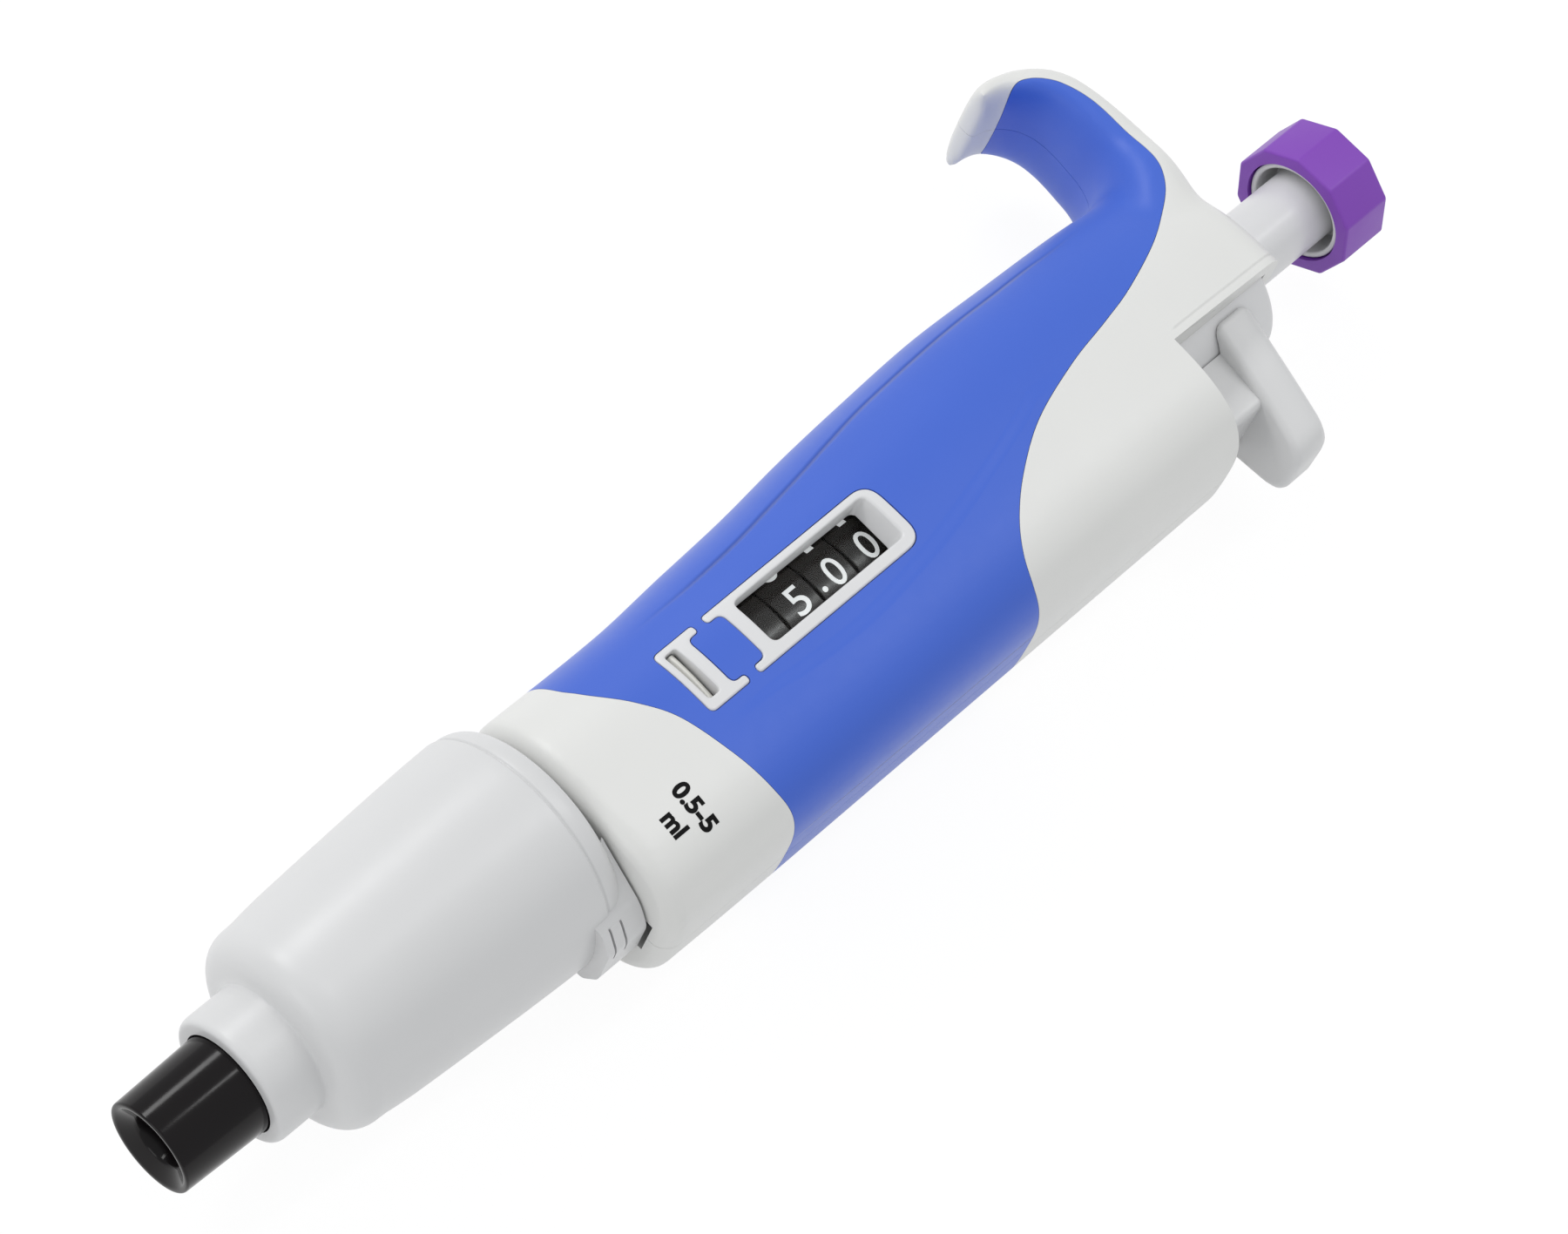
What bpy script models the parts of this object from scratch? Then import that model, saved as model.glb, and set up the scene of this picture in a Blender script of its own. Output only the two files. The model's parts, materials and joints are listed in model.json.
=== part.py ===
"""Adjustable 5 ml air-displacement pipette, lying on its back, as an assembly of separate solids.

Lengths are in metres. The pipette's own axis runs along X, from the nozzle near x = 0 towards
the knob. Y points to the finger hook, -Y to the ejector lever, and Z out of the counter's window.
"""

import math

import bmesh
import bpy
from mathutils import Vector

# Clearances, and how far cutters run past what they cut
SEAT_GAP = 0.0003
RUNNING_GAP = 0.00015
PARTING_GAP = 0.0003
MESH_MERGE = 0.000001
MILLIMETRES = 1000.0
OVERRUN = 0.010
BEYOND = 0.400
SHARPEST_CORNER = 0.3
SMOOTH_BELOW = math.radians(35)
CORNER_CUT = 0.3
FILLET_LIFT = 0.6

# Where the pipette lies
BACK_FLAT_DEPTH = 0.0178
REST_CENTRE = 0.1300

# Air cylinder with its tip cone
CONE_START = -0.0008
CONE_END_RADIUS = 0.00703
CONE_LENGTH = 0.0134
CONE_ROOT_RADIUS = 0.00728
CONE_RIM_ROUND = 0.0007
NECK_RADIUS = 0.0075
NECK_END = 0.0232
NECK_FLARE = 0.0003
NECK_FLARE_LENGTH = 0.0020
AIR_CHANNEL_RADIUS = 0.0030
CONE_MOUTH_RADIUS = 0.00385
CONE_MOUTH_DEPTH = 0.0045
CYLINDER_SHOULDER = 0.0272
CYLINDER_BORE_RADIUS = 0.0115
CYLINDER_WALL = 0.0012
CYLINDER_FLOOR = 0.0300
CYLINDER_END = 0.0837

# Plunger strokes: the first one draws 5 ml into the 23 mm bore
VOLUME_STROKE = 0.01203
BLOW_OUT_TRAVEL = 0.0020
PISTON_FLOOR_GAP = 0.0005
PISTON_LENGTH = 0.0090
PISTON_GAP = 0.0003
SEAL_GROOVE_DEPTH = 0.0014
SEAL_GROOVE_START = 0.0030
SEAL_WIDTH = 0.0022

# Ejector sleeve
SLEEVE_LIP_ROUND = 0.0012
SLEEVE_FILLET = 0.0010
SLEEVE_HOLE_RADIUS = 0.0079
COLLAR_RADIUS = 0.0098
COLLAR_END = 0.0204
SHOULDER_END = 0.0252
SHOULDER_RADIUS = 0.0155
SLEEVE_BELLY = ((0.0300, 0.0160), (0.0408, 0.0167), (0.0532, 0.0174), (0.0632, 0.0177))
SLEEVE_RIM = 0.0677
SLEEVE_RIM_RADIUS = 0.0153
SLEEVE_LINE_WIDTH = 0.0004
SLEEVE_WALL = 0.0019
SLEEVE_GUIDE_LENGTH = 0.0035
SLEEVE_CONE_OFFSET = 0.0010
SLEEVE_THROAT_OFFSET = 0.0016
BOSS_START = 0.0605
BOSS_DEPTH = 0.0198
BOSS_HALF_WIDTH = 0.0070
BOSS_FLAT_HALF_WIDTH = 0.0036
BOSS_CHAMFER = 0.0022
BOSS_WEB_DEPTH = 0.0086
BOSS_WEB_HALF_WIDTH = 0.0128

# Handle shells: outline on the hook's side, depths to the front and the back
HANDLE_FRONT = 0.0680
HANDLE_TOP = 0.2080
HANDLE_RIM_ROUND = 0.0022
HANDLE_TOP_ROUND = 0.0050
RIM_SHARES = (0.0, 0.12, 0.45)
LEVER_SIDE = 0.0238
HOOK_SIDE = (
    (0.0680, 0.0149),
    (0.0910, 0.0149),
    (0.1040, 0.0158),
    (0.1175, 0.0167),
    (0.1310, 0.0181),
    (0.1450, 0.0191),
    (0.1590, 0.0198),
    (0.1735, 0.0195),
    (0.1880, 0.0191),
    (0.1990, 0.0184),
    (0.2080, 0.0165),
)
FRONT_DEPTH = (
    (0.0680, 0.0151),
    (0.0900, 0.0156),
    (0.1100, 0.0162),
    (0.1500, 0.0170),
    (0.1850, 0.0165),
    (0.2080, 0.0148),
)
BACK_DEPTH = (
    (0.0680, 0.0155),
    (0.0820, 0.0174),
    (0.0950, 0.0181),
    (0.1680, 0.0181),
    (0.1900, 0.0170),
    (0.2080, 0.0150),
)
HOOK_SIDE_POWER = 2.35
LEVER_SIDE_POWER = 3.2
HANDLE_STATIONS = 10
HANDLE_RING = 28
POCKET_WALL = 0.0030

# Finger hook: outer point, inner point and half width of each section, from the handle to the beak
HOOK_SECTIONS = (
    ((0.2080, 0.0060), (0.1935, 0.0120), 0.0126),
    ((0.2102, 0.0140), (0.1982, 0.0170), 0.0122),
    ((0.2107, 0.0210), (0.2009, 0.0215), 0.0116),
    ((0.2105, 0.0265), (0.2018, 0.0265), 0.0112),
    ((0.2100, 0.0310), (0.2020, 0.0308), 0.0109),
    ((0.2090, 0.0350), (0.2014, 0.0338), 0.0106),
    ((0.2066, 0.0386), (0.1999, 0.0362), 0.0102),
    ((0.2026, 0.0414), (0.1977, 0.0379), 0.0096),
    ((0.1978, 0.0426), (0.1956, 0.0388), 0.0089),
    ((0.1949, 0.0419), (0.1943, 0.0392), 0.0080),
    ((0.1937, 0.0408), (0.1937, 0.0397), 0.0065),
)
HOOK_POWER = 2.6
HOOK_RING = 14
HOOK_LEAST_SHARE = 0.2

# Notch in the handle's end for the ejector lever
NOTCH_START = 0.1823
NOTCH_EDGE = 0.0068

# Soft grip: its lower and upper edges, and its thickness
GRIP_THICKNESS = 0.0010
GRIP_LOWER_EDGE = (
    (0.0781, 0.0300),
    (0.0781, 0.0131),
    (0.0795, 0.0078),
    (0.0834, 0.0018),
    (0.0864, -0.0038),
    (0.0884, -0.0121),
    (0.0897, -0.0185),
    (0.0910, -0.0235),
    (0.0910, -0.0300),
)
GRIP_UPPER_EDGE = (
    (0.1397, -0.0300),
    (0.1396, -0.0240),
    (0.1396, -0.0201),
    (0.1408, -0.0162),
    (0.1439, -0.0121),
    (0.1492, -0.0078),
    (0.1571, -0.0034),
    (0.1674, -0.0003),
    (0.1764, 0.0014),
    (0.1835, 0.0030),
    (0.1932, 0.0064),
    (0.2004, 0.0104),
    (0.2039, 0.0140),
    (0.2054, 0.0180),
    (0.2060, 0.0230),
    (0.2061, 0.0293),
    (0.2049, 0.0341),
    (0.2029, 0.0370),
    (0.2004, 0.0385),
    (0.1982, 0.0376),
    (0.1980, 0.0345),
)
GRIP_EDGE_MEETING = (0.1850, 0.0300)

# Counter window and latch window in the front shell, set out from the middle of the first wheel
FIRST_WHEEL = 0.1135
WINDOW_SIDE_LOW = -0.0059
WINDOW_SIDE_HIGH = 0.0052
BEZEL_START = FIRST_WHEEL - 0.0120
BEZEL_END = FIRST_WHEEL + 0.0174
BEZEL_PRONG_END = FIRST_WHEEL - 0.0143
BEZEL_PRONG_WIDTH = 0.0013
BEZEL_CORNER = 0.0030
OPENING_START = FIRST_WHEEL - 0.0097
OPENING_END = FIRST_WHEEL + 0.0157
OPENING_HALF_WIDTH = 0.0040
LATCH_START = FIRST_WHEEL - 0.0234
LATCH_END = FIRST_WHEEL - 0.0182
LATCH_PRONG_END = FIRST_WHEEL - 0.0161
LATCH_CORNER = 0.0009
LATCH_SLOT_START = FIRST_WHEEL - 0.0223
LATCH_SLOT_END = FIRST_WHEEL - 0.0202
LATCH_SLOT_HALF_WIDTH = 0.0042
LATCH_TONGUE_HEIGHT = 0.0148
LATCH_TONGUE_ROUND = 0.0005
LENS_THICKNESS = 0.0008
LENS_EDGE = 0.0003

# Chassis tube
CHASSIS_RADIUS = 0.0127
CHASSIS_WALL = 0.0015
CHASSIS_START = 0.0840
CHASSIS_END = 0.2047
SPIGOT_START = 0.0580
SPIGOT_WALL = 0.0015
SPIGOT_FLOOR = 0.0020
CHASSIS_SLOT_SIDE = 0.0006

# Counter
WHEEL_RADIUS = 0.0106
WHEEL_PITCH = 0.0068
WHEEL_NAMES = ("number_wheel_ones", "number_wheel_tenths", "number_wheel_hundredths")
WHEEL_RIM = 0.0016
WHEEL_WEB = 0.0022
HUB_RADIUS = 0.0050
HUB_WALL = 0.0010
HUB_FLANGE_START = FIRST_WHEEL - 0.0145
HUB_FLANGE_THICKNESS = 0.0030

# Volume setting
SCREW_FLANGE_THICKNESS = 0.0020
SCREW_THREAD_RADIUS = 0.0080
SCREW_END = FIRST_WHEEL + 0.0435
THREAD_RIDGE = 0.0004
THREAD_RIDGE_PITCH = 0.0036
STOP_START = FIRST_WHEEL + 0.0265
STOP_NUT_LENGTH = 0.0060
STOP_END = FIRST_WHEEL + 0.0465
STOP_WALL = 0.0012
STOP_LIP = 0.0014

# Plunger
SPINDLE_ACROSS_FLATS = 0.0058
SPINDLE_SOCKET_DEPTH = 0.0080
SHAFT_RADIUS = 0.0058
STOP_COLLAR_STEP = 0.0004
STOP_COLLAR_LENGTH = 0.0030
ROD_RADIUS = 0.0025
THRUST_PLATE_TOP = FIRST_WHEEL - 0.0151
THRUST_PLATE_THICKNESS = 0.0030
THRUST_PLATE_RADIUS = 0.0092
ROD_SOCKET_DEPTH = 0.0040
BUSH_START = 0.1970
FRICTION_RING_START = 0.1995
FRICTION_RING_LENGTH = 0.0020
FRICTION_RING_DEPTH = 0.0020

# Knob
KNOB_START = 0.2242
KNOB_LENGTH = 0.0093
KNOB_SIDES = 10
KNOB_CORNER_RADIUS = 0.0107
KNOB_WALL = 0.0015
KNOB_EDGE = 0.0006
INSERT_RADIUS = 0.0087
INSERT_HOLE_RADIUS = 0.0075
INSERT_RECESS = 0.0006
INSERT_STEM_RADIUS = 0.0024
INSERT_STEM_LENGTH = 0.0050
INSERT_DISC = 0.0018

# Ejector lever and its rod
ROD_LINE = 0.0170
EJECTOR_ROD_RADIUS = 0.0019
EJECTOR_ROD_START = 0.0625
ROD_COLLAR_START = 0.1720
ROD_COLLAR_LENGTH = 0.0020
ROD_COLLAR_RADIUS = 0.0038
STEM_START = 0.1760
STEM_OUTER = 0.0203
STEM_HALF_WIDTH = 0.0072
STEM_SOCKET_DEPTH = 0.0040
STEM_ROUND = 0.0010
STEM_INNER = 0.0095
PAD_START = 0.1925
PAD_END = 0.1998
PAD_OUTER = 0.0300
PAD_SLANT = 0.11
PAD_HALF_WIDTH = 0.0085
PAD_ROUND = 0.0022
CHANNEL_OUTER = 0.0216
CHANNEL_INNER = 0.0089
GUIDE_INNER = 0.0102
GUIDE_FRONT = HANDLE_FRONT + 0.0036
GUIDE_REAR = 0.1500
GUIDE_THICKNESS = 0.0026

# Springs
MAIN_SPRING_RADIUS = 0.0056
MAIN_SPRING_WIRE = 0.0005
MAIN_SPRING_TURNS = 8
BLOW_OUT_SPRING_RADIUS = 0.0082
BLOW_OUT_SPRING_WIRE = 0.0007
BLOW_OUT_SPRING_TURNS = 5
EJECTOR_SPRING_RADIUS = 0.0029
EJECTOR_SPRING_WIRE = 0.00045
EJECTOR_SPRING_TURNS = 8
COIL_POINTS = 8

# Facets round a turned piece
COARSE = 12
MEDIUM = 20
FINE = 26

# Worked out from the sizes above
SLEEVE_LIP = CONE_START + CONE_LENGTH
POCKET_END = NOTCH_START - POCKET_WALL
KNOB_END = KNOB_START + KNOB_LENGTH
PRESS_TRAVEL = VOLUME_STROKE + BLOW_OUT_TRAVEL
CYLINDER_RADIUS = CYLINDER_BORE_RADIUS + CYLINDER_WALL
PISTON_START = CYLINDER_FLOOR + PISTON_FLOOR_GAP + PRESS_TRAVEL
PISTON_END = PISTON_START + PISTON_LENGTH
CHASSIS_BORE_RADIUS = CHASSIS_RADIUS - CHASSIS_WALL
SHELL_BORE_RADIUS = CHASSIS_RADIUS + SEAT_GAP
SPIGOT_RADIUS = CYLINDER_BORE_RADIUS - SEAT_GAP
SPIGOT_BORE_RADIUS = SPIGOT_RADIUS - SPIGOT_WALL
THRUST_PLATE_START = THRUST_PLATE_TOP - THRUST_PLATE_THICKNESS
LAST_WHEEL_END = FIRST_WHEEL + (len(WHEEL_NAMES) - 0.5) * WHEEL_PITCH
SHAFT_START = STOP_END + VOLUME_STROKE
SHAFT_END = KNOB_END - KNOB_WALL - SEAT_GAP - INSERT_DISC - SEAT_GAP
SPINDLE_END = SHAFT_START + SPINDLE_SOCKET_DEPTH
BEZEL_FLOOR = SHELL_BORE_RADIUS
GRIP_RECESS = GRIP_THICKNESS + SEAT_GAP

# Colours, roughness and metallic of each finish
FINISHES = {
    "housing_white": ((0.66, 0.66, 0.64), 0.42, 0.0),
    "sleeve_grey": ((0.70, 0.71, 0.73), 0.38, 0.0),
    "grip_blue": ((0.065, 0.14, 0.58), 0.55, 0.0),
    "knob_purple": ((0.19, 0.065, 0.42), 0.40, 0.0),
    "nozzle_black": ((0.018, 0.016, 0.017), 0.18, 0.0),
    "wheel_black": ((0.03, 0.027, 0.026), 0.35, 0.0),
    "chassis_grey": ((0.62, 0.63, 0.65), 0.45, 0.0),
    "steel": ((0.60, 0.60, 0.61), 0.28, 1.0),
    "piston_white": ((0.78, 0.77, 0.72), 0.35, 0.0),
    "seal_rubber": ((0.03, 0.03, 0.03), 0.70, 0.0),
    "lens_clear": ((0.85, 0.88, 0.90), 0.08, 0.0),
}


def clear_scene():
    for obj in list(bpy.data.objects):
        bpy.data.objects.remove(obj, do_unlink=True)


def new_collection(name):
    collection = bpy.data.collections.new(name)
    bpy.context.scene.collection.children.link(collection)
    return collection


def finish(name):
    """The Principled material of one finish, made once."""
    if name in bpy.data.materials:
        return bpy.data.materials[name]
    colour, roughness, metallic = FINISHES[name]
    material = bpy.data.materials.new(name)
    material.use_nodes = True
    shader = material.node_tree.nodes["Principled BSDF"]
    shader.inputs["Base Color"].default_value = (*colour, 1.0)
    shader.inputs["Roughness"].default_value = roughness
    shader.inputs["Metallic"].default_value = metallic
    return material


def place(obj, finish_name=None):
    """Put a part, or a cutter where no finish is given, on the pipette's axis."""
    if finish_name:
        obj.data.materials.append(finish(finish_name))
        PARTS.objects.link(obj)
    else:
        obj.hide_render = True
        obj.display_type = "WIRE"
        CUTTERS.objects.link(obj)
    obj.parent = AXIS
    return obj


def mesh_object(name, bm):
    """An object from a bmesh, with its faces pointing out."""
    bmesh.ops.recalc_face_normals(bm, faces=bm.faces)
    mesh = bpy.data.meshes.new(name)
    bm.to_mesh(mesh)
    bm.free()
    return bpy.data.objects.new(name, mesh)


def boolean(obj, other, operation):
    modifier = obj.modifiers.new(other.name, "BOOLEAN")
    modifier.operation = operation
    modifier.solver = "EXACT"
    modifier.object = other


def cut(obj, *others):
    for other in others:
        boolean(obj, other, "DIFFERENCE")


def join(obj, *others):
    for other in others:
        boolean(obj, other, "UNION")


def keep_inside(obj, *others):
    for other in others:
        boolean(obj, other, "INTERSECT")


def turned(name, outline, steps=FINE, line=0.0):
    """A solid of revolution from (x, radius) points. The line it turns about lies line towards -Y."""
    points = [Vector((radius, 0.0, x)) for x, radius in outline]
    area = sum(a.x * b.z - b.x * a.z for a, b in zip(points, points[1:] + points[:1]))
    if area > 0:
        points.reverse()
    on_axis = any(point.x == 0.0 for point in points)
    if on_axis:
        while not (points[0].x == 0.0 and points[-1].x == 0.0):
            points.append(points.pop(0))
    edges = [(i, i + 1) for i in range(len(points) - 1)]
    if not on_axis:
        edges.append((len(points) - 1, 0))
    mesh = bpy.data.meshes.new(name)
    mesh.from_pydata(points, edges, [])
    obj = bpy.data.objects.new(name, mesh)
    obj.rotation_euler = (0.0, math.pi / 2, 0.0)
    obj.location = (0.0, -line, 0.0)
    screw = obj.modifiers.new("turn", "SCREW")
    screw.steps = screw.render_steps = steps
    screw.use_merge_vertices = True
    screw.merge_threshold = MESH_MERGE
    return obj


def ring_outline(start, end, inner, outer):
    return [(start, inner), (start, outer), (end, outer), (end, inner)]


def rod_outline(start, end, radius):
    return [(start, 0.0), (start, radius), (end, radius), (end, 0.0)]


def block(name, low, high, rounding=0.0):
    """A box between two corners, with its edges rounded where a rounding is given."""
    bm = bmesh.new()
    bmesh.ops.create_cube(bm, size=1.0)
    size = Vector(high) - Vector(low)
    middle = (Vector(high) + Vector(low)) / 2
    for vert in bm.verts:
        vert.co = Vector(a * b for a, b in zip(vert.co, size)) + middle
    obj = mesh_object(name, bm)
    if rounding:
        bevel = obj.modifiers.new("round", "BEVEL")
        bevel.width = rounding
        bevel.segments = 3
    return obj


def flat_prism(name, outline, low, high):
    """A flat (x, y) outline with a thickness, filled at millimetre scale and brought back."""
    curve = bpy.data.curves.new(name, "CURVE")
    curve.dimensions = "2D"
    curve.fill_mode = "BOTH"
    curve.extrude = (high - low) / 2 * MILLIMETRES
    spline = curve.splines.new("POLY")
    spline.points.add(len(outline) - 1)
    for point, (x, y) in zip(spline.points, outline):
        point.co = (x * MILLIMETRES, y * MILLIMETRES, 0.0, 1.0)
    spline.use_cyclic_u = True
    guide = bpy.data.objects.new(name + "_curve", curve)
    CUTTERS.objects.link(guide)
    graph = bpy.context.evaluated_depsgraph_get()
    bm = bmesh.new()
    bm.from_mesh(bpy.data.meshes.new_from_object(guide.evaluated_get(graph)))
    bpy.data.objects.remove(guide)
    bmesh.ops.scale(bm, verts=bm.verts, vec=[1 / MILLIMETRES] * 3)
    bmesh.ops.remove_doubles(bm, verts=bm.verts, dist=MESH_MERGE)
    bmesh.ops.translate(bm, verts=bm.verts, vec=(0.0, 0.0, (high + low) / 2))
    bmesh.ops.triangulate(bm, faces=bm.faces)
    return mesh_object(name, bm)


def loft(name, rings):
    """A closed solid through rings of equally many points, with a flat cap at each end."""
    bm = bmesh.new()
    loops = [[bm.verts.new(point) for point in ring] for ring in rings]
    count = len(rings[0])
    for near, far in zip(loops, loops[1:]):
        for i in range(count):
            j = (i + 1) % count
            bm.faces.new((near[i], near[j], far[j], far[i]))
    bm.faces.new(loops[0])
    bm.faces.new(loops[-1])
    bmesh.ops.triangulate(bm, faces=bm.faces)
    return mesh_object(name, bm)


def value_at(stations, x):
    """A smooth value through (x, value) stations, held level beyond both ends."""
    if x <= stations[0][0]:
        return stations[0][1]
    if x >= stations[-1][0]:
        return stations[-1][1]
    slopes = [0.0]
    for (x0, v0), _, (x2, v2) in zip(stations, stations[1:], stations[2:]):
        slopes.append((v2 - v0) / (x2 - x0))
    slopes.append(0.0)
    index = max(i for i, station in enumerate(stations) if station[0] <= x)
    (x0, v0), (x1, v1) = stations[index], stations[index + 1]
    span = x1 - x0
    t = (x - x0) / span
    return (
        (2 * t**3 - 3 * t**2 + 1) * v0
        + (t**3 - 2 * t**2 + t) * span * slopes[index]
        + (3 * t**2 - 2 * t**3) * v1
        + (t**3 - t**2) * span * slopes[index + 1]
    )


def smooth_path(points, per_span=4):
    """Points on a smooth curve through the given flat points."""
    path = []
    for i in range(len(points) - 1):
        p0 = Vector(points[max(i - 1, 0)])
        p1 = Vector(points[i])
        p2 = Vector(points[i + 1])
        p3 = Vector(points[min(i + 2, len(points) - 1)])
        for step in range(per_span):
            t = step / per_span
            path.append(
                0.5
                * (
                    2 * p1
                    + (p2 - p0) * t
                    + (2 * p0 - 5 * p1 + 4 * p2 - p3) * t**2
                    + (3 * p1 - p0 - 3 * p2 + p3) * t**3
                )
            )
    path.append(Vector(points[-1]))
    return path


def signed_power(value, power):
    return math.copysign(abs(value) ** power, value)


def rounding_inset(x, inset):
    """How far the handle's outline draws in near its two rounded ends."""
    draw = 0.0
    for reach, rounding in (
        (x - HANDLE_FRONT - inset, HANDLE_RIM_ROUND),
        (HANDLE_TOP - inset - x, HANDLE_TOP_ROUND),
    ):
        left = max(rounding - max(reach, 0.0), 0.0)
        draw += rounding - math.sqrt(max(rounding**2 - left**2, 0.0))
    return draw


def handle_ring(x, inset):
    """The handle's section at x, drawn in by inset: round on the hook's side, squarer on the lever's."""
    draw = inset + rounding_inset(x, inset)
    hook_edge = value_at(HOOK_SIDE, x) - draw
    lever_edge = draw - LEVER_SIDE
    middle = (hook_edge + lever_edge) / 2
    half = (hook_edge - lever_edge) / 2
    ring = []
    for i in range(HANDLE_RING):
        angle = 2 * math.pi * i / HANDLE_RING
        power = 2 / (HOOK_SIDE_POWER if math.cos(angle) > 0 else LEVER_SIDE_POWER)
        depth = value_at(FRONT_DEPTH if math.sin(angle) > 0 else BACK_DEPTH, x) - draw
        y = middle + half * signed_power(math.cos(angle), power)
        ring.append((x, y, depth * signed_power(math.sin(angle), power)))
    return ring


def handle_positions(inset):
    """Stations along the handle, close together at the rounded ends."""
    front = HANDLE_FRONT + inset
    top = HANDLE_TOP - inset
    front_end = [front + HANDLE_RIM_ROUND * share for share in RIM_SHARES]
    top_end = [top - HANDLE_TOP_ROUND * share for share in reversed(RIM_SHARES)]
    inner = front + HANDLE_RIM_ROUND
    step = (top - HANDLE_TOP_ROUND - inner) / (HANDLE_STATIONS - 1)
    middle = [inner + i * step for i in range(HANDLE_STATIONS)]
    return front_end + middle + top_end


def hook_ring(outer, inner, half_width, inset):
    """One section of the finger hook, across the line from its outer to its inner edge."""
    outer = Vector((*outer, 0.0))
    inner = Vector((*inner, 0.0))
    across = (outer - inner) / 2
    half = max(across.length - inset, across.length * HOOK_LEAST_SHARE)
    direction = across.normalized() * half
    middle = (outer + inner) / 2
    width = max(half_width - inset, half_width * HOOK_LEAST_SHARE)
    ring = []
    for i in range(HOOK_RING):
        angle = 2 * math.pi * i / HOOK_RING
        ring.append(
            middle
            + direction * signed_power(math.cos(angle), 2 / HOOK_POWER)
            + Vector((0.0, 0.0, width * signed_power(math.sin(angle), 2 / HOOK_POWER)))
        )
    return ring


def handle_form(name, inset=0.0):
    """The handle's whole outer form with its hook, drawn in by inset."""
    form = loft(name, [handle_ring(x, inset) for x in handle_positions(inset)])
    hook = loft(name + "_hook", [hook_ring(*section, inset) for section in HOOK_SECTIONS])
    join(form, place(hook))
    return form


def half_space(name, side):
    """A large block in front of the parting plane, or behind it where side is -1."""
    near = side * PARTING_GAP / 2
    low, high = sorted((near, side * BEYOND))
    return place(block(name, (-BEYOND, -BEYOND, low), (BEYOND, BEYOND, high)))


def grown(outline, distance):
    """A closed outline moved outwards by distance at each corner."""
    points = [Vector(point) for point in outline]
    following = points[1:] + points[:1]
    area = sum(a.x * b.y - b.x * a.y for a, b in zip(points, following))
    turn = 1.0 if area > 0 else -1.0
    moved = []
    for i, (point, ahead) in enumerate(zip(points, following)):
        before = (point - points[i - 1]).normalized()
        after = (ahead - point).normalized()
        normal_before = Vector((before.y, -before.x)) * turn
        normal_after = Vector((after.y, -after.x)) * turn
        bisector = (normal_before + normal_after).normalized()
        reach = distance / max(bisector.dot(normal_after), SHARPEST_CORNER)
        moved.append(point + bisector * reach)
    return moved


def grip_outline():
    """The soft grip's edge seen from the front, run past the handle where it wraps round."""
    lower = smooth_path(GRIP_LOWER_EDGE, 3)
    upper = smooth_path(GRIP_UPPER_EDGE, 3)
    return lower + upper + [Vector(GRIP_EDGE_MEETING)]


def bezel_outline():
    """The counter's frame: a rectangle with two prongs towards the nozzle."""
    low, high, prong = WINDOW_SIDE_LOW, WINDOW_SIDE_HIGH, BEZEL_PRONG_WIDTH
    corner = BEZEL_CORNER
    steps = [math.pi / 2 * i / 3 for i in range(4)]
    end_low = [
        (BEZEL_END - corner + corner * math.sin(a), low + corner - corner * math.cos(a)) for a in steps
    ]
    end_high = [
        (BEZEL_END - corner + corner * math.cos(a), high - corner + corner * math.sin(a)) for a in steps
    ]
    return (
        [(BEZEL_PRONG_END, low)]
        + end_low
        + end_high
        + [
            (BEZEL_PRONG_END, high),
            (BEZEL_PRONG_END, high - prong),
            (BEZEL_START, high - prong),
            (BEZEL_START, low + prong),
            (BEZEL_PRONG_END, low + prong),
        ]
    )


def latch_outline():
    """The latch window's frame: a rectangle with two short prongs towards the knob."""
    low, high, prong = WINDOW_SIDE_LOW, WINDOW_SIDE_HIGH, BEZEL_PRONG_WIDTH
    return [
        (LATCH_START, low + LATCH_CORNER),
        (LATCH_START + LATCH_CORNER, low),
        (LATCH_PRONG_END, low),
        (LATCH_PRONG_END, low + prong),
        (LATCH_END, low + prong),
        (LATCH_END, high - prong),
        (LATCH_PRONG_END, high - prong),
        (LATCH_PRONG_END, high),
        (LATCH_START + LATCH_CORNER, high),
        (LATCH_START, high - LATCH_CORNER),
    ]


def make_nozzle_cylinder():
    """Tip cone, neck and air cylinder in one turned piece."""
    outline = [
        (CONE_START + CONE_MOUTH_DEPTH, AIR_CHANNEL_RADIUS),
        (CONE_START + CONE_RIM_ROUND, CONE_MOUTH_RADIUS),
        (CONE_START, CONE_END_RADIUS - 2 * CONE_RIM_ROUND),
        (CONE_START, CONE_END_RADIUS - CONE_RIM_ROUND),
        (CONE_START + CONE_RIM_ROUND * CORNER_CUT, CONE_END_RADIUS - CONE_RIM_ROUND * CORNER_CUT),
        (CONE_START + CONE_RIM_ROUND, CONE_END_RADIUS),
        (SLEEVE_LIP, CONE_ROOT_RADIUS),
        (NECK_END - NECK_FLARE_LENGTH, NECK_RADIUS),
        (NECK_END, NECK_RADIUS + NECK_FLARE),
        (CYLINDER_SHOULDER, CYLINDER_RADIUS),
        (CYLINDER_END, CYLINDER_RADIUS),
        (CYLINDER_END, CYLINDER_BORE_RADIUS),
        (CYLINDER_FLOOR, CYLINDER_BORE_RADIUS),
        (CYLINDER_FLOOR, AIR_CHANNEL_RADIUS),
    ]
    place(turned("nozzle_cylinder", outline), "nozzle_black")


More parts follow.
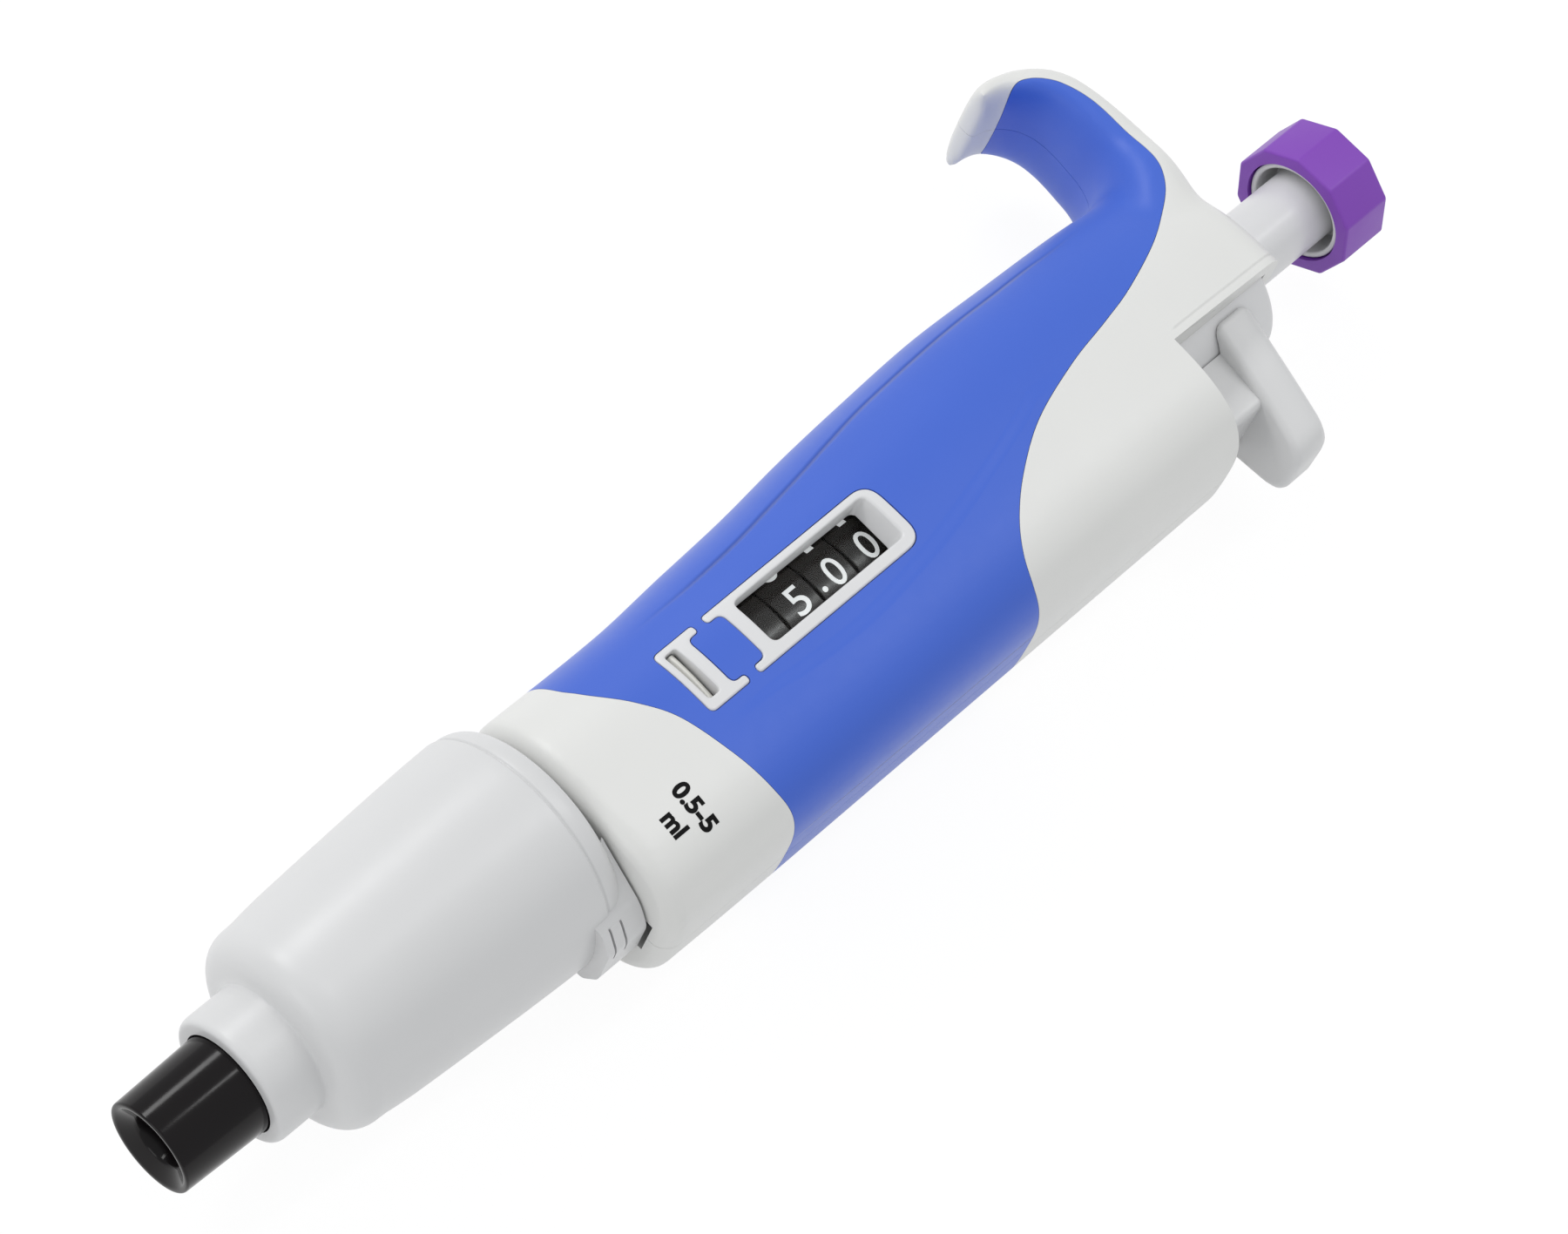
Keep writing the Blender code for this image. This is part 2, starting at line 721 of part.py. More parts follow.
def sleeve_outline():
    """The ejector sleeve's wall: lip, collar, rounded shoulder, belly and rim."""
    lip = SLEEVE_LIP_ROUND
    fillet = SLEEVE_FILLET
    lift = fillet * FILLET_LIFT
    rise = SHOULDER_RADIUS - COLLAR_RADIUS
    shoulder = [
        (
            SHOULDER_END - (SHOULDER_END - COLLAR_END - fillet) * math.cos(a),
            COLLAR_RADIUS + lift + (rise - lift) * math.sin(a),
        )
        for a in [math.pi / 2 * i / 4 for i in range(5)]
    ]
    line_start = SLEEVE_BELLY[-1][0]
    line_radius = SLEEVE_BELLY[-1][1]
    rim_length = SLEEVE_RIM - line_start - SLEEVE_LINE_WIDTH
    rim = [
        (
            line_start + SLEEVE_LINE_WIDTH + rim_length * math.sin(a),
            SLEEVE_RIM_RADIUS + (line_radius - SLEEVE_RIM_RADIUS) * math.cos(a),
        )
        for a in [math.pi / 2 * i / 3 for i in range(4)]
    ]
    guide_radius = CYLINDER_RADIUS + SEAT_GAP
    cone_end = CYLINDER_SHOULDER - SLEEVE_CONE_OFFSET
    outer = (
        [(SLEEVE_LIP, SLEEVE_HOLE_RADIUS), (SLEEVE_LIP, COLLAR_RADIUS - lip)]
        + [(SLEEVE_LIP + lip * CORNER_CUT, COLLAR_RADIUS - lip * CORNER_CUT), (SLEEVE_LIP + lip, COLLAR_RADIUS)]
        + [(COLLAR_END - fillet, COLLAR_RADIUS)]
        + shoulder
        + list(SLEEVE_BELLY)
        + [(line_start + SLEEVE_LINE_WIDTH / 2, line_radius - SLEEVE_LINE_WIDTH / 2)]
        + rim
    )
    relief = [(x, radius - SLEEVE_WALL) for x, radius in reversed(SLEEVE_BELLY[:-1])]
    inner = (
        [(SLEEVE_RIM, guide_radius), (SLEEVE_RIM - 2 * SLEEVE_GUIDE_LENGTH, guide_radius)]
        + relief
        + [(cone_end + SLEEVE_GUIDE_LENGTH / 2, guide_radius), (cone_end, guide_radius)]
        + [(NECK_END - SLEEVE_THROAT_OFFSET, SLEEVE_HOLE_RADIUS)]
    )
    return outer + inner


def boss_ring(x, web_depth, web_half_width):
    """A section of the rod's boss, with its flanks running out to a web on the sleeve."""
    side = [
        (web_depth, web_half_width),
        (BOSS_DEPTH - BOSS_CHAMFER, BOSS_HALF_WIDTH),
        (BOSS_DEPTH, BOSS_FLAT_HALF_WIDTH),
    ]
    return [(x, -depth, z) for depth, z in side] + [(x, -depth, -z) for depth, z in reversed(side)]


def make_ejector_sleeve():
    """The sleeve that pushes the tip off, with the boss that the ejector rod clips into."""
    sleeve = turned("ejector_sleeve", sleeve_outline())
    root = CYLINDER_RADIUS + SLEEVE_WALL
    boss = loft(
        "sleeve_boss",
        [
            boss_ring(BOSS_START, root, BOSS_HALF_WIDTH),
            boss_ring(SLEEVE_RIM, BOSS_WEB_DEPTH, BOSS_WEB_HALF_WIDTH),
        ],
    )
    bore = turned("sleeve_boss_bore", rod_outline(0.0, SLEEVE_RIM + OVERRUN, root), FINE)
    cut(boss, place(bore))
    socket = turned(
        "sleeve_rod_socket",
        rod_outline(EJECTOR_ROD_START - SEAT_GAP, SLEEVE_RIM + OVERRUN, EJECTOR_ROD_RADIUS + SEAT_GAP),
        COARSE,
        ROD_LINE,
    )
    join(sleeve, place(boss))
    cut(sleeve, place(socket))
    place(sleeve, "sleeve_grey")


def make_handle():
    """Two shells that part on the middle plane, and the soft grip let into each."""
    front_side = half_space("front_side", 1)
    back_side = half_space("back_side", -1)
    back_flat = place(
        block("back_flat", (-BEYOND, -BEYOND, -BACK_FLAT_DEPTH), (BEYOND, BEYOND, BEYOND))
    )
    shell_bore = place(
        turned("shell_bore", rod_outline(0.0, CHASSIS_END + SEAT_GAP, SHELL_BORE_RADIUS))
    )
    shaft_hole = place(
        turned("shaft_hole", rod_outline(CHASSIS_START, BEYOND, SHAFT_RADIUS + SEAT_GAP), MEDIUM)
    )
    channel = place(
        block(
            "rod_channel",
            (0.0, -CHANNEL_OUTER, -STEM_HALF_WIDTH - SEAT_GAP),
            (BEYOND, -CHANNEL_INNER, STEM_HALF_WIDTH + SEAT_GAP),
        )
    )
    notch = place(
        block("lever_notch", (NOTCH_START, -BEYOND, -BEYOND), (BEYOND, -NOTCH_EDGE, BEYOND))
    )
    pocket = place(shell_pocket())
    recess = place(
        flat_prism("grip_recess", grown(grip_outline(), SEAT_GAP / 2), -BEYOND, BEYOND)
    )
    grip_area = place(
        flat_prism("grip_area", grown(grip_outline(), -SEAT_GAP / 2), -BEYOND, BEYOND)
    )
    recess_floor = place(handle_form("recess_floor", GRIP_RECESS))
    grip_floor = place(handle_form("grip_floor", GRIP_THICKNESS))
    cut(recess, recess_floor)
    windows = [
        place(flat_prism("bezel_pocket", grown(bezel_outline(), SEAT_GAP), 0.0, BEYOND)),
        place(flat_prism("latch_pocket", grown(latch_outline(), SEAT_GAP), 0.0, BEYOND)),
    ]
    for name, side, extra in (("front", front_side, windows), ("rear", back_side, [])):
        shell = handle_form("housing_" + name)
        keep_inside(shell, side)
        grip = handle_form("grip_" + name)
        keep_inside(grip, grip_area, side)
        if name == "rear":
            keep_inside(shell, back_flat)
            keep_inside(grip, back_flat)
        cut(shell, recess, pocket, shell_bore, channel, notch, shaft_hole, *extra)
        cut(grip, grip_floor, *extra)
        place(shell, "housing_white")
        place(grip, "grip_blue")


def shell_pocket():
    """The hollow inside the two shells, below the lever's notch."""
    span = POCKET_END - HANDLE_FRONT - POCKET_WALL
    positions = [HANDLE_FRONT + POCKET_WALL + span * i / 6 for i in range(7)]
    return loft("shell_pocket", [handle_ring(x, POCKET_WALL)[::2] for x in positions])


def make_window_pieces():
    """Counter bezel, lens, latch bezel and latch tongue, flush with the front shell."""
    surface = place(handle_form("front_surface"))
    opening = place(
        block(
            "counter_opening",
            (OPENING_START, -OPENING_HALF_WIDTH, 0.0),
            (OPENING_END, OPENING_HALF_WIDTH, BEYOND),
        )
    )
    bezel = flat_prism("counter_bezel", bezel_outline(), BEZEL_FLOOR, BEYOND)
    keep_inside(bezel, surface)
    cut(bezel, opening)
    place(bezel, "sleeve_grey")
    slot = place(
        block(
            "latch_slot",
            (LATCH_SLOT_START, -LATCH_SLOT_HALF_WIDTH, 0.0),
            (LATCH_SLOT_END, LATCH_SLOT_HALF_WIDTH, BEYOND),
        )
    )
    latch = flat_prism("latch_bezel", latch_outline(), BEZEL_FLOOR, BEYOND)
    keep_inside(latch, surface)
    cut(latch, slot)
    place(latch, "sleeve_grey")
    tongue = block(
        "latch_tongue",
        (LATCH_SLOT_START + SEAT_GAP, -LATCH_SLOT_HALF_WIDTH + SEAT_GAP, BEZEL_FLOOR),
        (LATCH_SLOT_END - SEAT_GAP, LATCH_SLOT_HALF_WIDTH - SEAT_GAP, LATCH_TONGUE_HEIGHT),
        LATCH_TONGUE_ROUND,
    )
    place(tongue, "piston_white")
    lens_top = BEZEL_FLOOR - SEAT_GAP
    lens = block(
        "counter_lens",
        (OPENING_START - LENS_EDGE, -OPENING_HALF_WIDTH - LENS_EDGE, lens_top - LENS_THICKNESS),
        (OPENING_END + LENS_EDGE, OPENING_HALF_WIDTH + LENS_EDGE, lens_top),
    )
    place(lens, "lens_clear")


def make_chassis_tube():
    """The inner tube: a spigot in the cylinder, a window over the wheels, and an open top end."""
    outline = [
        (SPIGOT_START, ROD_RADIUS + SEAT_GAP),
        (SPIGOT_START, SPIGOT_RADIUS),
        (CHASSIS_START, SPIGOT_RADIUS),
        (CHASSIS_START, CHASSIS_RADIUS),
        (CHASSIS_END, CHASSIS_RADIUS),
        (CHASSIS_END, CHASSIS_BORE_RADIUS),
        (CHASSIS_START + CHASSIS_WALL, CHASSIS_BORE_RADIUS),
        (CHASSIS_START + CHASSIS_WALL, SPIGOT_BORE_RADIUS),
        (SPIGOT_START + SPIGOT_FLOOR, SPIGOT_BORE_RADIUS),
        (SPIGOT_START + SPIGOT_FLOOR, ROD_RADIUS + SEAT_GAP),
    ]
    tube = turned("chassis_tube", outline)
    side = OPENING_HALF_WIDTH + LENS_EDGE + SEAT_GAP
    slot = block(
        "chassis_window",
        (OPENING_START - CHASSIS_SLOT_SIDE, -side, 0.0),
        (OPENING_END + CHASSIS_SLOT_SIDE, side, BEYOND),
    )
    cut(tube, place(slot))
    place(tube, "chassis_grey")


def make_counter():
    """Hub, blank drum and three number wheels, side by side behind the window."""
    flange_end = HUB_FLANGE_START + HUB_FLANGE_THICKNESS
    hub_end = LAST_WHEEL_END - SEAT_GAP
    hub = [
        (HUB_FLANGE_START, HUB_RADIUS - HUB_WALL),
        (HUB_FLANGE_START, CHASSIS_BORE_RADIUS - SEAT_GAP),
        (flange_end, CHASSIS_BORE_RADIUS - SEAT_GAP),
        (flange_end, HUB_RADIUS),
        (hub_end, HUB_RADIUS),
        (hub_end, HUB_RADIUS - HUB_WALL),
    ]
    place(turned("counter_hub", hub, MEDIUM), "chassis_grey")
    for index, name in enumerate(("blank_drum", *WHEEL_NAMES)):
        middle = FIRST_WHEEL + (index - 1) * WHEEL_PITCH
        place(turned(name, wheel_outline(middle), FINE), "wheel_black")


def wheel_outline(middle):
    """A number wheel's section: a wide rim on a thin web round the hub."""
    half = (WHEEL_PITCH - SEAT_GAP) / 2
    rim_radius = WHEEL_RADIUS - WHEEL_RIM
    web = WHEEL_WEB / 2
    bore = HUB_RADIUS + SEAT_GAP
    return [
        (middle - web, bore),
        (middle - web, rim_radius),
        (middle - half, rim_radius),
        (middle - half, WHEEL_RADIUS),
        (middle + half, WHEEL_RADIUS),
        (middle + half, rim_radius),
        (middle + web, rim_radius),
        (middle + web, bore),
    ]


def hexagon(name, start, end, across_flats):
    """A hexagonal bar along the axis."""
    radius = across_flats / 2 / math.cos(math.pi / 6)
    return turned(name, rod_outline(start, end, radius), 6)


def make_volume_setting():
    """The setting screw that the spindle turns, and the stop that rides on its thread."""
    flange_start = LAST_WHEEL_END + SEAT_GAP
    flange_end = flange_start + SCREW_FLANGE_THICKNESS
    root_radius = SCREW_THREAD_RADIUS - THREAD_RIDGE
    thread = []
    x = flange_end + THREAD_RIDGE_PITCH
    while x + THREAD_RIDGE_PITCH < SCREW_END:
        thread += [(x, SCREW_THREAD_RADIUS), (x + THREAD_RIDGE_PITCH / 2, root_radius)]
        x += THREAD_RIDGE_PITCH
    outline = (
        [(flange_start, 0.0), (flange_start, WHEEL_RADIUS), (flange_end, WHEEL_RADIUS)]
        + [(flange_end, root_radius)]
        + thread
        + [(SCREW_END, root_radius), (SCREW_END, 0.0)]
    )
    screw = turned("setting_screw", outline, MEDIUM)
    bore = hexagon(
        "screw_bore",
        flange_start - OVERRUN,
        SCREW_END + OVERRUN,
        SPINDLE_ACROSS_FLATS + 2 * SEAT_GAP,
    )
    cut(screw, place(bore))
    place(screw, "steel")
    outer = CHASSIS_BORE_RADIUS - SEAT_GAP
    lip_radius = SHAFT_RADIUS + STOP_COLLAR_STEP + SEAT_GAP
    stop = [
        (STOP_START, SCREW_THREAD_RADIUS + RUNNING_GAP),
        (STOP_START, outer),
        (STOP_END, outer),
        (STOP_END, lip_radius),
        (STOP_END - STOP_LIP, lip_radius),
        (STOP_END - STOP_LIP, outer - STOP_WALL),
        (STOP_START + STOP_NUT_LENGTH, outer - STOP_WALL),
        (STOP_START + STOP_NUT_LENGTH, SCREW_THREAD_RADIUS + RUNNING_GAP),
    ]
    place(turned("volume_stop", stop, MEDIUM), "piston_white")


def make_plunger():
    """Push shaft, spindle, thrust plate, piston rod, piston and seal."""
    socket_radius = SPINDLE_ACROSS_FLATS / 2 / math.cos(math.pi / 6) + SEAT_GAP
    stem_bore = INSERT_STEM_RADIUS + SEAT_GAP
    stem_floor = SHAFT_END - INSERT_STEM_LENGTH - SEAT_GAP
    collar = SHAFT_RADIUS + STOP_COLLAR_STEP
    shaft = [
        (SPINDLE_END + SEAT_GAP, 0.0),
        (SPINDLE_END + SEAT_GAP, socket_radius),
        (SHAFT_START, socket_radius),
        (SHAFT_START, collar),
        (SHAFT_START + STOP_COLLAR_LENGTH, collar),
        (SHAFT_START + STOP_COLLAR_LENGTH, SHAFT_RADIUS),
        (SHAFT_END, SHAFT_RADIUS),
        (SHAFT_END, stem_bore),
        (stem_floor, stem_bore),
        (stem_floor, 0.0),
    ]
    place(turned("push_shaft", shaft, MEDIUM), "sleeve_grey")
    spindle_start = THRUST_PLATE_TOP + SEAT_GAP
    place(hexagon("spindle", spindle_start, SPINDLE_END, SPINDLE_ACROSS_FLATS), "steel")
    rod_top = THRUST_PLATE_START + THRUST_PLATE_THICKNESS / 2
    rod_bottom = PISTON_END - ROD_SOCKET_DEPTH
    plate = [
        (rod_top, 0.0),
        (rod_top, ROD_RADIUS + SEAT_GAP),
        (THRUST_PLATE_START, ROD_RADIUS + SEAT_GAP),
        (THRUST_PLATE_START, THRUST_PLATE_RADIUS),
        (THRUST_PLATE_TOP, THRUST_PLATE_RADIUS),
        (THRUST_PLATE_TOP, 0.0),
    ]
    place(turned("thrust_plate", plate, MEDIUM), "steel")
    rod = rod_outline(rod_bottom, rod_top - SEAT_GAP, ROD_RADIUS)
    place(turned("piston_rod", rod, COARSE), "steel")
    radius = CYLINDER_BORE_RADIUS - PISTON_GAP
    groove_start = PISTON_START + SEAL_GROOVE_START
    groove_end = groove_start + SEAL_WIDTH + 2 * SEAT_GAP
    piston = [
        (PISTON_START, 0.0),
        (PISTON_START, radius),
        (groove_start, radius),
        (groove_start, radius - SEAL_GROOVE_DEPTH),
        (groove_end, radius - SEAL_GROOVE_DEPTH),
        (groove_end, radius),
        (PISTON_END, radius),
        (PISTON_END, ROD_RADIUS + SEAT_GAP),
        (rod_bottom - SEAT_GAP, ROD_RADIUS + SEAT_GAP),
        (rod_bottom - SEAT_GAP, 0.0),
    ]
    place(turned("piston", piston), "piston_white")
    seal = ring_outline(
        groove_start + SEAT_GAP,
        groove_end - SEAT_GAP,
        radius - SEAL_GROOVE_DEPTH + SEAT_GAP,
        CYLINDER_BORE_RADIUS - RUNNING_GAP,
    )
    place(turned("piston_seal", seal), "seal_rubber")


def make_shaft_bush():
    """The bush that guides the push shaft, and the friction ring that holds the set volume."""
    bore = SHAFT_RADIUS + SEAT_GAP
    ring_end = FRICTION_RING_START + FRICTION_RING_LENGTH
    groove = bore + FRICTION_RING_DEPTH
    end = CHASSIS_END - SEAT_GAP
    bush = [
        (BUSH_START, bore),
        (BUSH_START, CHASSIS_BORE_RADIUS - SEAT_GAP),
        (end, CHASSIS_BORE_RADIUS - SEAT_GAP),
        (end, bore),
        (ring_end + SEAT_GAP, bore),
        (ring_end + SEAT_GAP, groove),
        (FRICTION_RING_START - SEAT_GAP, groove),
        (FRICTION_RING_START - SEAT_GAP, bore),
    ]
    place(turned("shaft_bush", bush, MEDIUM), "chassis_grey")
    ring = ring_outline(FRICTION_RING_START, ring_end, SHAFT_RADIUS + RUNNING_GAP, groove - SEAT_GAP)
    place(turned("friction_ring", ring, MEDIUM), "seal_rubber")


def make_knob():
    """The ten-sided cap, hollow below, and the round insert that carries it on the shaft."""
    bm = bmesh.new()
    bmesh.ops.create_cone(
        bm,
        cap_ends=True,
        segments=KNOB_SIDES,
        radius1=KNOB_CORNER_RADIUS,
        radius2=KNOB_CORNER_RADIUS,
        depth=KNOB_LENGTH,
    )
    cap = mesh_object("knob_cap", bm)
    cap.rotation_euler = (0.0, math.pi / 2, 0.0)
    cap.location = ((KNOB_START + KNOB_END) / 2, 0.0, 0.0)
    bevel = cap.modifiers.new("edges", "BEVEL")
    bevel.width = KNOB_EDGE
    bevel.segments = 2
    hollow = turned(
        "knob_hollow",
        rod_outline(KNOB_START - OVERRUN, KNOB_END - KNOB_WALL, INSERT_RADIUS + SEAT_GAP),
        MEDIUM,
    )
    cut(cap, place(hollow))
    place(cap, "knob_purple")
    disc_end = KNOB_END - KNOB_WALL - SEAT_GAP
    disc_start = disc_end - INSERT_DISC
    insert = [
        (SHAFT_END - INSERT_STEM_LENGTH, 0.0),
        (SHAFT_END - INSERT_STEM_LENGTH, INSERT_STEM_RADIUS),
        (disc_start, INSERT_STEM_RADIUS),
        (disc_start, INSERT_HOLE_RADIUS),
        (KNOB_START + INSERT_RECESS, INSERT_HOLE_RADIUS),
        (KNOB_START + INSERT_RECESS, INSERT_RADIUS),
        (disc_end, INSERT_RADIUS),
        (disc_end, 0.0),
    ]
    place(turned("knob_insert", insert, MEDIUM), "sleeve_grey")


def make_ejector():
    """Lever pad and stem in one piece, and the rod that carries its push down to the sleeve."""
    stem = block(
        "ejector_lever",
        (STEM_START, -STEM_OUTER, -STEM_HALF_WIDTH),
        (PAD_START + PAD_ROUND, -STEM_INNER, STEM_HALF_WIDTH),
        STEM_ROUND,
    )
    pad = block(
        "lever_pad",
        (PAD_START, -PAD_OUTER, -PAD_HALF_WIDTH),
        (PAD_END, -STEM_INNER, PAD_HALF_WIDTH),
        PAD_ROUND,
    )
    for vert in pad.data.vertices:
        vert.co.x += PAD_SLANT * (vert.co.y + STEM_INNER)
    tube_clearance = turned(
        "lever_tube_clearance", rod_outline(CHASSIS_START, BEYOND, CHASSIS_RADIUS + SEAT_GAP)
    )
    socket = turned(
        "lever_rod_socket",
        rod_outline(STEM_START - OVERRUN, STEM_START + STEM_SOCKET_DEPTH, EJECTOR_ROD_RADIUS + SEAT_GAP),
        COARSE,
        ROD_LINE,
    )
    join(stem, place(pad))
    cut(stem, place(tube_clearance), place(socket))
    place(stem, "sleeve_grey")
    rod_end = STEM_START + STEM_SOCKET_DEPTH - SEAT_GAP
    collar_end = ROD_COLLAR_START + ROD_COLLAR_LENGTH
    rod = [
        (EJECTOR_ROD_START, 0.0),
        (EJECTOR_ROD_START, EJECTOR_ROD_RADIUS),
        (ROD_COLLAR_START, EJECTOR_ROD_RADIUS),
        (ROD_COLLAR_START, ROD_COLLAR_RADIUS),
        (collar_end, ROD_COLLAR_RADIUS),
        (collar_end, EJECTOR_ROD_RADIUS),
        (rod_end, EJECTOR_ROD_RADIUS),
        (rod_end, 0.0),
    ]
    place(turned("ejector_rod", rod, COARSE, ROD_LINE), "steel")


def make_rod_guides():
    """Two blocks in the channel beside the tube that keep the ejector rod in line."""
    tube_clearance = place(
        turned("guide_tube_clearance", rod_outline(0.0, BEYOND, CHASSIS_RADIUS + SEAT_GAP))
    )
    rod_hole = place(
        turned("guide_rod_hole", rod_outline(0.0, BEYOND, EJECTOR_ROD_RADIUS + SEAT_GAP), COARSE, ROD_LINE)
    )
    for name, start in (("front_rod_guide", GUIDE_FRONT), ("rear_rod_guide", GUIDE_REAR)):
        guide = block(
            name,
            (start, -CHANNEL_OUTER + SEAT_GAP, -STEM_HALF_WIDTH),
            (start + GUIDE_THICKNESS, -GUIDE_INNER, STEM_HALF_WIDTH),
        )
        cut(guide, tube_clearance, rod_hole)
        place(guide, "chassis_grey")


def coil(name, start, end, radius, wire, turns, line=0.0):
    """A coil spring along X, between its two seats."""
    curve = bpy.data.curves.new(name, "CURVE")
    curve.dimensions = "3D"
    curve.bevel_depth = wire
    curve.bevel_resolution = 1
    curve.use_fill_caps = True
    count = turns * COIL_POINTS + 1
    spline = curve.splines.new("POLY")
    spline.points.add(count - 1)
    low = start + wire
    high = end - wire
    for i, point in enumerate(spline.points):
        share = i / (count - 1)
        angle = 2 * math.pi * turns * share
        x = low + (high - low) * share
        point.co = (x, radius * math.cos(angle) - line, radius * math.sin(angle), 1.0)
    return bpy.data.objects.new(name, curve)


def make_springs():
    """Main spring, blow-out spring and the ejector's return spring."""
    floor = SPIGOT_START + SPIGOT_FLOOR + SEAT_GAP
    main_end = THRUST_PLATE_START - SEAT_GAP
    first_stop = THRUST_PLATE_START - VOLUME_STROKE
    springs = (
        coil("main_spring", floor, main_end, MAIN_SPRING_RADIUS, MAIN_SPRING_WIRE, MAIN_SPRING_TURNS),
        coil(
            "blow_out_spring",
            floor,
            first_stop,
            BLOW_OUT_SPRING_RADIUS,
            BLOW_OUT_SPRING_WIRE,
            BLOW_OUT_SPRING_TURNS,
        ),
        coil(
            "ejector_spring",
            GUIDE_REAR + GUIDE_THICKNESS + SEAT_GAP,
            ROD_COLLAR_START - SEAT_GAP,
            EJECTOR_SPRING_RADIUS,
            EJECTOR_SPRING_WIRE,
            EJECTOR_SPRING_TURNS,
            ROD_LINE,
        ),
    )
    for spring in springs:
        place(spring, "steel")


def settle(obj):
    """Turn a part's modifiers into its mesh, shaded smooth between its real edges."""
    graph = bpy.context.evaluated_depsgraph_get()
    mesh = bpy.data.meshes.new_from_object(obj.evaluated_get(graph))
    mesh.name = obj.name
    obj.modifiers.clear()
    obj.data = mesh
    mesh.shade_smooth()
    mesh.set_sharp_from_angle(angle=SMOOTH_BELOW)


clear_scene()
PARTS = new_collection("micropipette")
CUTTERS = new_collection("cutters")
AXIS = bpy.data.objects.new("pipette_axis", None)
AXIS.location = (-REST_CENTRE, 0.0, BACK_FLAT_DEPTH)
PARTS.objects.link(AXIS)

make_nozzle_cylinder()
make_ejector_sleeve()
make_handle()
make_window_pieces()
make_chassis_tube()
make_counter()
make_volume_setting()
make_plunger()
make_shaft_bush()
make_knob()
make_ejector()
make_rod_guides()
make_springs()
for part in PARTS.objects:
    if part.type == "MESH":
        settle(part)
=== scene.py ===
"""Studio dressing for an adjustable 5 ml hand pipette that lies on its back.

Shapes are drawn in millimetres along the pipette's own axis: x runs from the nozzle, near 0, to
the knob, y points to the finger hook and z out of the counter's window. settle() brings each finished
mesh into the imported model's frame, in metres.
"""

import json
import math

import bmesh
import bpy
from bpy.props import FloatProperty, FloatVectorProperty, PointerProperty, StringProperty
from mathutils import Matrix, Vector

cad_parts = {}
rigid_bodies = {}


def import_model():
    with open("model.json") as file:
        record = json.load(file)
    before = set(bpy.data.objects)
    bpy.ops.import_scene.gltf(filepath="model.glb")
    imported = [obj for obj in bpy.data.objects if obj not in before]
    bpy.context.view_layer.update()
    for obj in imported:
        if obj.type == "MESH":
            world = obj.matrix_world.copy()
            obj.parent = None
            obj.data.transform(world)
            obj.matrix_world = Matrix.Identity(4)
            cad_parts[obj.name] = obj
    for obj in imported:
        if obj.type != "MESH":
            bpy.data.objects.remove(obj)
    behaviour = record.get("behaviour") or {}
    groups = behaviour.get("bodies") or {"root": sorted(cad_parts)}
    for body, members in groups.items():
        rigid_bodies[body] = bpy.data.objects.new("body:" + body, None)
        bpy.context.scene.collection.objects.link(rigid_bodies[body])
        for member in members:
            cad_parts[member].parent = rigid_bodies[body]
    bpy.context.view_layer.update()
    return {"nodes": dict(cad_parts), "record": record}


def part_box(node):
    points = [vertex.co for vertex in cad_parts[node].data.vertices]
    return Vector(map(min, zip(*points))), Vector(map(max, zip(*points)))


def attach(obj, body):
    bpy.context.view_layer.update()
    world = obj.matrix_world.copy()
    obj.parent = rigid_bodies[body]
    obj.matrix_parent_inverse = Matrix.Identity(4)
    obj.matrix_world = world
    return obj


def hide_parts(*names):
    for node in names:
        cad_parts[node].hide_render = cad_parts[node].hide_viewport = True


bl_info = {
    "name": "Hand Pipette",
    "version": (1, 0, 0),
    "blender": (4, 5, 0),
    "location": "View3D > Sidebar > Pipette",
    "description": "Builds the visible pieces of an adjustable hand pipette and a plain studio",
    "category": "Object",
}

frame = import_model()
NODES = frame["nodes"]

# Handle, from its front rim to its top. FRONT_SLANT is the share of chamfer in the rim's rounding.
HANDLE_FRONT = 68.0
HANDLE_TOP = 208.0
FRONT_ROUND = 2.2
FRONT_SLANT = 0.4
TOP_ROUND = 5.0
LEVER_SIDE = 23.8
BACK_FLAT = -17.8

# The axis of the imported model, set out from the housing's front rim and the round nozzle
MM = 0.001
NOZZLE_LOW, NOZZLE_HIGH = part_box("nozzle_cylinder")
HOUSING_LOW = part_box("housing_front")[0]
AXIS_START = Vector((HOUSING_LOW[0] - HANDLE_FRONT * MM, 0.0, (NOZZLE_LOW[2] + NOZZLE_HIGH[2]) / 2))
TO_FRAME = Matrix.Translation(AXIS_START) @ Matrix.Scale(MM, 4)

# The handle's outline on the hook's side, and its depths to the front and the back, as (x, size)
HOOK_SIDE = (
    (68.0, 14.9), (91.0, 14.9), (104.0, 15.8), (117.5, 16.7), (131.0, 18.1), (145.0, 19.1),
    (159.0, 19.8), (173.5, 19.5), (188.0, 19.1), (199.0, 18.4), (208.0, 16.5),
)
FRONT_DEPTH = ((68.0, 15.7), (90.0, 15.7), (110.0, 16.2), (150.0, 17.0), (185.0, 16.5), (208.0, 14.8))
BACK_DEPTH = ((68.0, 15.5), (82.0, 17.4), (95.0, 18.1), (168.0, 18.1), (190.0, 17.0), (208.0, 15.0))
HOOK_SIDE_POWER = 2.35
LEVER_SIDE_POWER = 3.2
HOOK_POWER = 2.6

